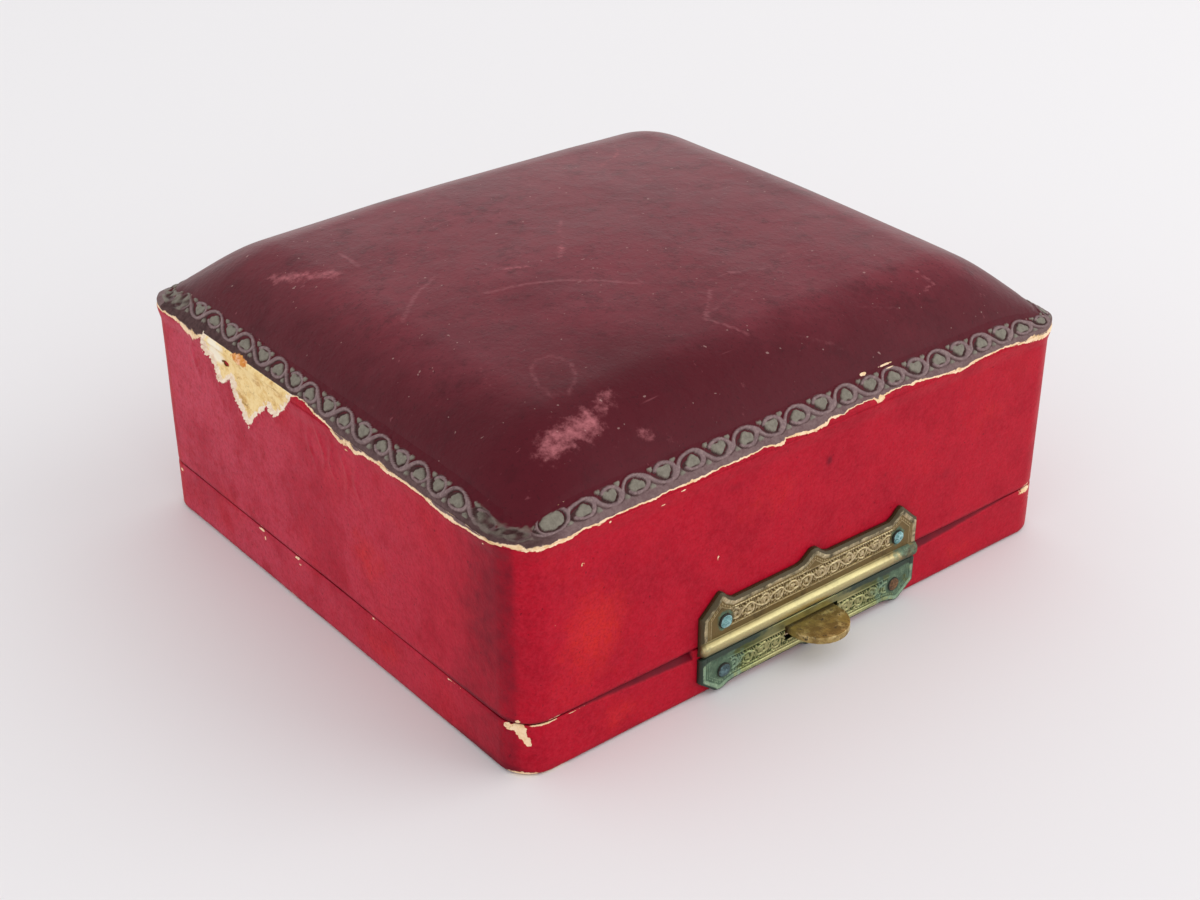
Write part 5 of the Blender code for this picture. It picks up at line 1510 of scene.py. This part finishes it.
# %% Nails
HEAD_RADII = (0.0, 0.25, 0.5, 0.72, 0.88, 0.98, 1.06)
SHANK_RADII = (1.08, 1.0, 0.42, 0.40, 0.40, 0.0)
SHANK_DEPTHS = (-0.02, -0.12, -0.16, -0.5, -3.0, -3.0)


def verdigris_material(name, ground, light, dark):
    """Chalky copper crust: mottled, matt, and rough to the touch."""
    material, tree, shader = start_material(name)
    lumps = patches(tree, 0.9, 0.38, 0.62, rough=0.7)
    dust = patches(tree, 0.35, 0.45, 0.70)
    pits = patches(tree, 0.6, 0.60, 0.70)
    # A dark ring at the head's edge: soot and painted shade where it meets the plate.
    rim = frayed(tree, "soot", 0.35, 0.75, size=0.6, depth=0.3)
    colour = layered(
        tree, ground, (lumps, light), (dust, ground), (pits, dark), (rim, "2A2A22"))
    connect(tree, shader, colour, 0.82, 0.0, reliefs=((lumps, 0.10), (dust, 0.05)))
    return material


def turned_nail(name, place_x, place_z, rise, seed):
    """A nail's profile carried round its axis, its head slightly uneven."""
    angle = np.linspace(0, 2 * math.pi, 36, endpoint=False)[:, None]
    radii = np.array(HEAD_RADII + SHANK_RADII)
    outs = rise * np.sqrt(1 - (radii / max(HEAD_RADII + SHANK_RADII)) ** 2)
    outs[len(HEAD_RADII):] = SHANK_DEPTHS
    uneven = 1 + 0.05 * waves(seed, np.cos(angle), np.sin(angle), size=1.3)
    reach = radii[None, :] * np.where(radii > 0.5, uneven, 1.0)
    dents = 0.05 * waves(seed + 1, reach * np.cos(angle), reach * np.sin(angle), size=0.9)
    out = outs[None, :] + np.where(np.arange(len(radii)) < len(HEAD_RADII) - 1, dents, 0.0)
    grid = grid_of(
        place_x + reach * np.cos(angle), PLATE_FACE - 0.10 - out,
        place_z + reach * np.sin(angle))
    # A dark ring at the head's edge, where it meets the plate: soot and painted shade.
    soot = np.where(radii > 0.95, 0.9, 0.0) + 0 * angle
    return surface(name, grid, closed=(True, False), soot=soot)


def close_poles(item):
    """Merge the points that meet at a pole, and let the faces look outwards."""
    with reshaped(item.data) as shape:
        bmesh.ops.remove_doubles(shape, verts=shape.verts, dist=JOINED)
        bmesh.ops.recalc_face_normals(shape, faces=shape.faces)


turquoise = verdigris_material("verdigris_crust", "5F9090", "9CC4C4", "2F5A5C")
dark_crust = verdigris_material("dark_verdigris", "33474A", "5A7478", "1C2628")
brown_nail = verdigris_material("sunk_brown_nail", "5A3E26", "8A6238", "2A1A10")
for name, node_name, side, level, rise, finish, body in (
        ("upper_left_nail", "clasp_nail_lid_left", -1, UPPER_NAILS, 0.50, turquoise, "lid"),
        ("upper_right_nail", "clasp_nail_lid_right", 1, UPPER_NAILS, 0.50, turquoise, "lid"),
        ("lower_left_nail", "clasp_nail_base_left", -1, LOWER_NAILS, 0.42, dark_crust, "base"),
        ("lower_right_nail", "clasp_nail_base_right", 1, LOWER_NAILS, 0.20, brown_nail, "base")):
    nail = turned_nail(name, side * NAIL_PLACE, level, rise, seed=len(name))
    close_poles(nail)
    dress(nail, finish, "nail_brass", body, node_name)

# %% [markdown]
# ## The thumb catch
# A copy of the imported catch, merged and with its edges rounded, keeps its working shape. It is
# a cast brass tab, worn by thumbs to a mottled brown with brighter yellow where the gilding
# went last, and dirt in its corners.

# %% Thumb catch
def softened_copy(name, source, width, segments=3):
    """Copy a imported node, merge its loose triangles and round its sharp edges."""
    mesh = frame["nodes"][source].data.copy()
    item = add_object(name, mesh)
    with reshaped(mesh) as shape:
        bmesh.ops.remove_doubles(shape, verts=shape.verts, dist=0.005 * MM)
        bmesh.ops.dissolve_limit(
            shape, angle_limit=math.radians(1), verts=shape.verts, edges=shape.edges)
    mesh.shade_smooth()
    mesh.set_sharp_from_angle(angle=math.radians(35))
    soft = item.modifiers.new("worn_edges", "BEVEL")
    soft.width = width * MM
    soft.segments = segments
    soft.limit_method = "ANGLE"
    soft.angle_limit = math.radians(40)
    soft.harden_normals = True
    return item


worn_brass, tree, shader = start_material("worn_cast_brass")
brown = patches(tree, 1.8, 0.42, 0.58, rough=0.7)
gold = patches(tree, 1.1, 0.50, 0.66, rough=0.65)
dirt = patches(tree, 0.8, 0.58, 0.68)
colour = layered(tree, "B49C62", (brown, "8A7242"), (gold, "D8C48C"), (dirt, "54452A"))
gloss = layered(tree, 0.40, (brown, 0.55), (gold, 0.34), (dirt, 0.75))
shine = layered(tree, 0.90, (brown, 0.75), (dirt, 0.35))
connect(tree, shader, colour, gloss, shine, reliefs=((brown, 0.03), (dirt, 0.03)))
catch = softened_copy("thumb_tab", "thumb_catch", 0.22)
dress(catch, worn_brass, "stamped_brass", "thumb_catch", "thumb_catch")
print("catch:", len(catch.data.polygons), "faces before rounding")

# %% [markdown]
# ## Pads and linings
# Inside, the seat pad is red velvet over card and wadding, with six round wells for the
# buttons. The lid is lined with cream silk: a puffed cushion under the panel and a band round
# the sides. The silk is one loose sheet held at its border, so cloth simulation makes it puff
# and pucker. The velvet is glued down tight, so its wells are drawn as a height over a grid.

# %% Velvet and silk
velvet, tree, shader = start_material("cotton_velvet")
nap = patches(tree, 5.0, 0.40, 0.62, rough=0.6)
pile = patches(tree, 0.5, 0.40, 0.64, rough=0.7)
worn_pile = patches(tree, 9.0, 0.60, 0.74)
colour = layered(tree, "6A1622", (nap, "54101A"), (pile, "7C2230"), (worn_pile, "8A4048"))
connect(tree, shader, colour, 0.92, reliefs=((pile, 0.10), (nap, 0.15)), Sheen_Weight=0.55,
        Sheen_Roughness=0.35, Sheen_Tint="E8A8A8", Specular_IOR_Level=0.15)

silk, tree, shader = start_material("cream_silk_satin")
ribs = node(tree, "TexWave", {
    "Vector": on_object(tree), "Scale": 1 / (0.9 * MM) / 6.0, "Distortion": 0.6,
    "Detail": 2.0},
    bands_direction="X").outputs["Fac"]
aged = patches(tree, 16.0, 0.38, 0.78)
spots = patches(tree, 1.6, 0.72, 0.82)
slub = patches(tree, 0.7, 0.50, 0.72, stretch=(1.0, 0.06, 0.06))
colour = layered(tree, "E7DBC1", (aged, "DDCCA9"), (spots, "CDB78F"), (slub, "ECE2CB"))
gloss = layered(tree, 0.38, (slub, 0.48), (aged, 0.44))
connect(tree, shader, colour, gloss, reliefs=((ribs, 0.02), (slub, 0.03)),
        Sheen_Weight=0.25, Anisotropic=0.4)

cotton, tree, shader = start_material("carded_cotton_wadding")
tufts = patches(tree, 2.0, 0.35, 0.65, rough=0.7)
colour = layered(tree, "E3DAC4", (tufts, "CFC2A2"))
connect(tree, shader, colour, 0.95, reliefs=((tufts, 0.4),))
print("fabrics:", velvet.name, silk.name, cotton.name)

# %% [markdown]
# ## Seat pad
# The pad is one velvet skin over a grid. Grid points close to a well's floor line are drawn on
# to it, so the wells are round, and the faces inside the line are taken out: the seats stand
# open to the block below.

# %% Seat pad
PAD_HALF_X, PAD_HALF_Y = 41.7, 37.7
PAD_FOOT, PAD_TOP = 9.3, 14.5
WELL_RADIUS = 11.0
WELLS = [(x, y) for x in (-27.8, 0.0, 27.8) for y in (-18.85, 18.85)]
FLOOR_RADIUS = 9.4
SNAP = 0.30


def quarter_round(distance, width):
    """A quarter of a circle: steep at 0, level at a width, where it reaches 1."""
    return np.sqrt(1 - (1 - np.clip(distance, 0, width) / width) ** 2)


def build_seat_pad():
    """A velvet skin over the pad: drawn-in edges, and wells that roll over and go down."""
    line_x = np.linspace(-PAD_HALF_X, PAD_HALF_X, 201)
    line_y = np.linspace(-PAD_HALF_Y, PAD_HALF_Y, 181)
    x, y = np.meshgrid(line_x, line_y, indexing="ij")
    for a, b in WELLS:
        away = np.hypot(x - a, y - b)
        near = np.abs(away - FLOOR_RADIUS) < SNAP
        drawn = np.where(near, FLOOR_RADIUS / np.maximum(away, 1.0), 1.0)
        x, y = a + (x - a) * drawn, b + (y - b) * drawn
    well = np.min([np.hypot(x - a, y - b) for a, b in WELLS], axis=0)
    border = np.minimum(PAD_HALF_X - np.abs(x), PAD_HALF_Y - np.abs(y))
    crown = 0.35 * smooth_step(border, 0, 9) * smooth_step(well - WELL_RADIUS, 0.0, 5.0)
    lip = quarter_round(well - WELL_RADIUS + 0.9, 1.6)
    drop = smooth_step(well, FLOOR_RADIUS + 0.1, WELL_RADIUS - 0.5)
    side = quarter_round(border, 1.4)
    height = PAD_TOP - PAD_FOOT - 0.45 + crown + 0.06 * waves(41, x, y, size=9.0)
    z = PAD_FOOT + height * (0.10 + 0.90 * lip) * drop * (0.15 + 0.85 * side)
    item = surface("velvet_seat_pad", grid_of(x, y, z), turned=False)
    inner = (FLOOR_RADIUS - 0.04) * MM
    centres = [Vector((a * MM, b * MM)) for a, b in WELLS]
    with reshaped(item.data) as shape:
        floors = [face for face in shape.faces if min(
            (face.calc_center_median().xy - centre).length for centre in centres) < inner]
        bmesh.ops.delete(shape, geom=floors, context="FACES")
    thicken(item, "velvet_thickness", 0.28)
    return item


seat_pad = build_seat_pad()
dress(seat_pad, velvet, "velvet", "base", "seat_pad")

# %% [markdown]
# ## Lid cushion and wadding
# A pillow is two sheets of rings that meet at their border. For the silk, a held sheet is blown
# up by a short cloth simulation at ten times its size, where the solver is steadier, and its
# depth is brought to the room that the frame leaves.

# %% Lid cushion and wadding
PANEL_FOOT = 31.3
PAD_SPACING = 1.1
SILK_SCALE, SILK_FRAMES = 10.0, 24
SILK_CLOTH = {
    "quality": 6, "mass": 0.3, "tension_stiffness": 12, "compression_stiffness": 12,
    "shear_stiffness": 4, "bending_stiffness": 0.02, "use_pressure": True,
    "uniform_pressure_force": 3.0, "shrink_min": -0.035, "vertex_group_mass": "held"}


def pillow(name, x, y, upper, lower):
    """Two sheets of rings over the same outline, joined at their shared border."""
    item = surface(name, grid_of(x, y, upper), turned=True)
    under = surface(name + "_under", grid_of(x, y, lower), turned=False)
    with reshaped(item.data) as shape:
        shape.from_mesh(under.data)
        bmesh.ops.remove_doubles(shape, verts=shape.verts, dist=JOINED)
    bpy.data.objects.remove(under, do_unlink=True)
    return item


def at_border(ring):
    """Whether a place lies on the outermost ring."""
    return ring > 1 - 1e-6


def puffed(x, y, ring):
    """Depth that a held silk sheet reaches under pressure, from a short cloth simulation."""
    base = 0.02 * waves(52, x, y, size=7.0)
    sheet = surface("silk_in_work", grid_of(x, y, base) * SILK_SCALE, turned=False)
    held = sheet.vertex_groups.new(name="held")
    held.add(np.flatnonzero(at_border(ring)).tolist(), 1.0, "REPLACE")
    cloth = sheet.modifiers.new("cloth", "CLOTH")
    for setting, value in SILK_CLOTH.items():
        setattr(cloth.settings, setting, value)
    cloth.settings.effector_weights.gravity = 0.0
    cloth.point_cache.frame_start = 1
    cloth.point_cache.frame_end = SILK_FRAMES
    for step in range(1, SILK_FRAMES + 1):
        bpy.context.scene.frame_set(step)
    graph = bpy.context.evaluated_depsgraph_get()
    made = sheet.evaluated_get(graph).to_mesh()
    places = np.empty(len(made.vertices) * 3)
    made.vertices.foreach_get("co", places)
    depth = np.abs(places.reshape(-1, 3)[:, 2]).reshape(x.shape)
    bpy.context.scene.frame_set(1)
    bpy.data.objects.remove(sheet, do_unlink=True)
    print("silk puffed by", round(float(depth.max()) / SILK_SCALE / MM, 2), "mm")
    return depth / depth.max()


x, y, ring = rings_inside(43.3, 39.3, 1.2, 76, PAD_SPACING)
glued = PANEL_FOOT - 0.05
low = np.where(at_border(ring), glued, PANEL_FOOT - 0.9 - 1.75 * puffed(x, y, ring))
cushion = pillow("silk_lid_cushion", x, y, glued, low)
dress(cushion, silk, "cream_silk", "lid", "lid_lining_cushion")

x, y, ring = rings_inside(47.6, 43.6, 4.2, 60, PAD_SPACING)
top = np.maximum(top_height(x, y) - 2.3 + 0.15 * waves(61, x, y, size=6.0), RIM + 0.3)
wadding = pillow("wadding", x, y, np.where(at_border(ring), RIM, top), RIM)
dress(wadding, cotton, "cotton_wadding", "lid", "lid_padding")

# %% [markdown]
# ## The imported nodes' finishes
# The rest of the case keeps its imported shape: mitred softwood rails, pasteboard, paper, the
# brass hinges and nails, the steel spring and the iron pin. Each gets the finish of its real
# material. Wood needs its grain along each rail, so there is one finish for each direction.

# %% Wood, board and paper
def softwood_material(name, stretch):
    """Pale pine: long fine grain, with darker late wood and a little dust."""
    material, tree, shader = start_material(name)
    rings = patches(tree, 1.6, 0.42, 0.60, detail=3.0, stretch=stretch)
    fibre = patches(tree, 0.5, 0.40, 0.65, detail=3.0, stretch=stretch)
    dust = patches(tree, 7.0, 0.52, 0.70)
    colour = layered(tree, "C9A671", (rings, "A97F4A"), (fibre, "B8925A"), (dust, "8E7452"))
    connect(tree, shader, colour, 0.72, reliefs=((rings, 0.05), (fibre, 0.03)))
    return material


def board_material(name, ground, fleck, dark):
    """Pressed rag board: short fibres, flecks and a dull face."""
    material, tree, shader = start_material(name)
    fibre = patches(tree, 0.8, 0.40, 0.65, rough=0.7)
    flecks = patches(tree, 0.6, 0.66, 0.74)
    cloud = patches(tree, 12.0, 0.45, 0.68)
    colour = layered(tree, ground, (cloud, dark), (fibre, ground), (flecks, fleck))
    connect(tree, shader, colour, 0.88, reliefs=((fibre, 0.04),))
    return material


wood_across = softwood_material("pine_along_x", (0.04, 1.0, 1.0))
wood_deep = softwood_material("pine_along_y", (1.0, 0.04, 1.0))
pasteboard = board_material("rag_pasteboard", "B49C6E", "6E5A3C", "9C8458")
underpaper = board_material("marbled_underpaper", "C9B690", "8A6A50", "B49A74")
x, y, _ = rings_inside(47.2, 43.2, 3.5, 24, PAD_SPACING)
under_sheet = pillow("underside_paper", x, y, 0.33, 0.03)
dress(under_sheet, underpaper, "underpaper", "base", "base_underpaper")

# %% [markdown]
# ## Brass, steel and iron
# The hinges are rolled brass, yellow and a little tarnished. The flat spring is steel that has
# kept some of its blue-grey, and the pin is a piece of iron wire. All show fine drawn lines.

# %% Brass, steel and iron
def plain_metal(name, ground, light, dark, roughness):
    """Rolled metal with fine wear: lighter rubbed places and darker tarnish."""
    material, tree, shader = start_material(name)
    rubbed = patches(tree, 1.6, 0.46, 0.66)
    tarnish = patches(tree, 2.6, 0.52, 0.68, rough=0.7)
    lines = patches(tree, 0.4, 0.45, 0.65, stretch=(0.08, 1.0, 1.0))
    colour = layered(tree, ground, (rubbed, light), (tarnish, dark))
    gloss = layered(tree, roughness, (tarnish, roughness + 0.22), (lines, roughness + 0.08))
    connect(tree, shader, colour, gloss, 1.0, reliefs=((lines, 0.01), (tarnish, 0.02)))
    return material


hinge_brass = plain_metal("rolled_hinge_brass", "A08A50", "C2AC6C", "5E4E2C", 0.34)
spring_steel = plain_metal("blued_spring_steel", "7C7E82", "A6A8AA", "4A4038", 0.28)
iron = plain_metal("drawn_iron_wire", "6A645C", "8E8880", "4A3024", 0.42)

# %% [markdown]
# ## Which node gets which finish
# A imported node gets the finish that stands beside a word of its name. Those that no word fits
# are the ones that a dressed piece replaces.

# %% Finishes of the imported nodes
FINISHES = (
    (wood_across, ("front_rail", "back_rail", "seat_block")),
    (wood_deep, ("left_rail", "right_rail")),
    (pasteboard, ("base_board", "lid_panel")),
    (velvet, ("base_collar",)),
    (silk, ("lid_side_lining",)),
    (iron, ("catch_pin",)),
    (spring_steel, ("catch_spring",)),
    (hinge_brass, ("clasp_keeper", "hinge_leaf", "hinge_pin", "leaf_nail")))
replaced = []
for name, item in frame["nodes"].items():
    found = [finish for finish, words in FINISHES if any(word in name for word in words)]
    if not found:
        replaced.append(name)
        continue
    if not item.material_slots:
        item.data.materials.append(found[0])
    for slot in item.material_slots:
        slot.material = found[0]
print("replaced nodes:", sorted(replaced))
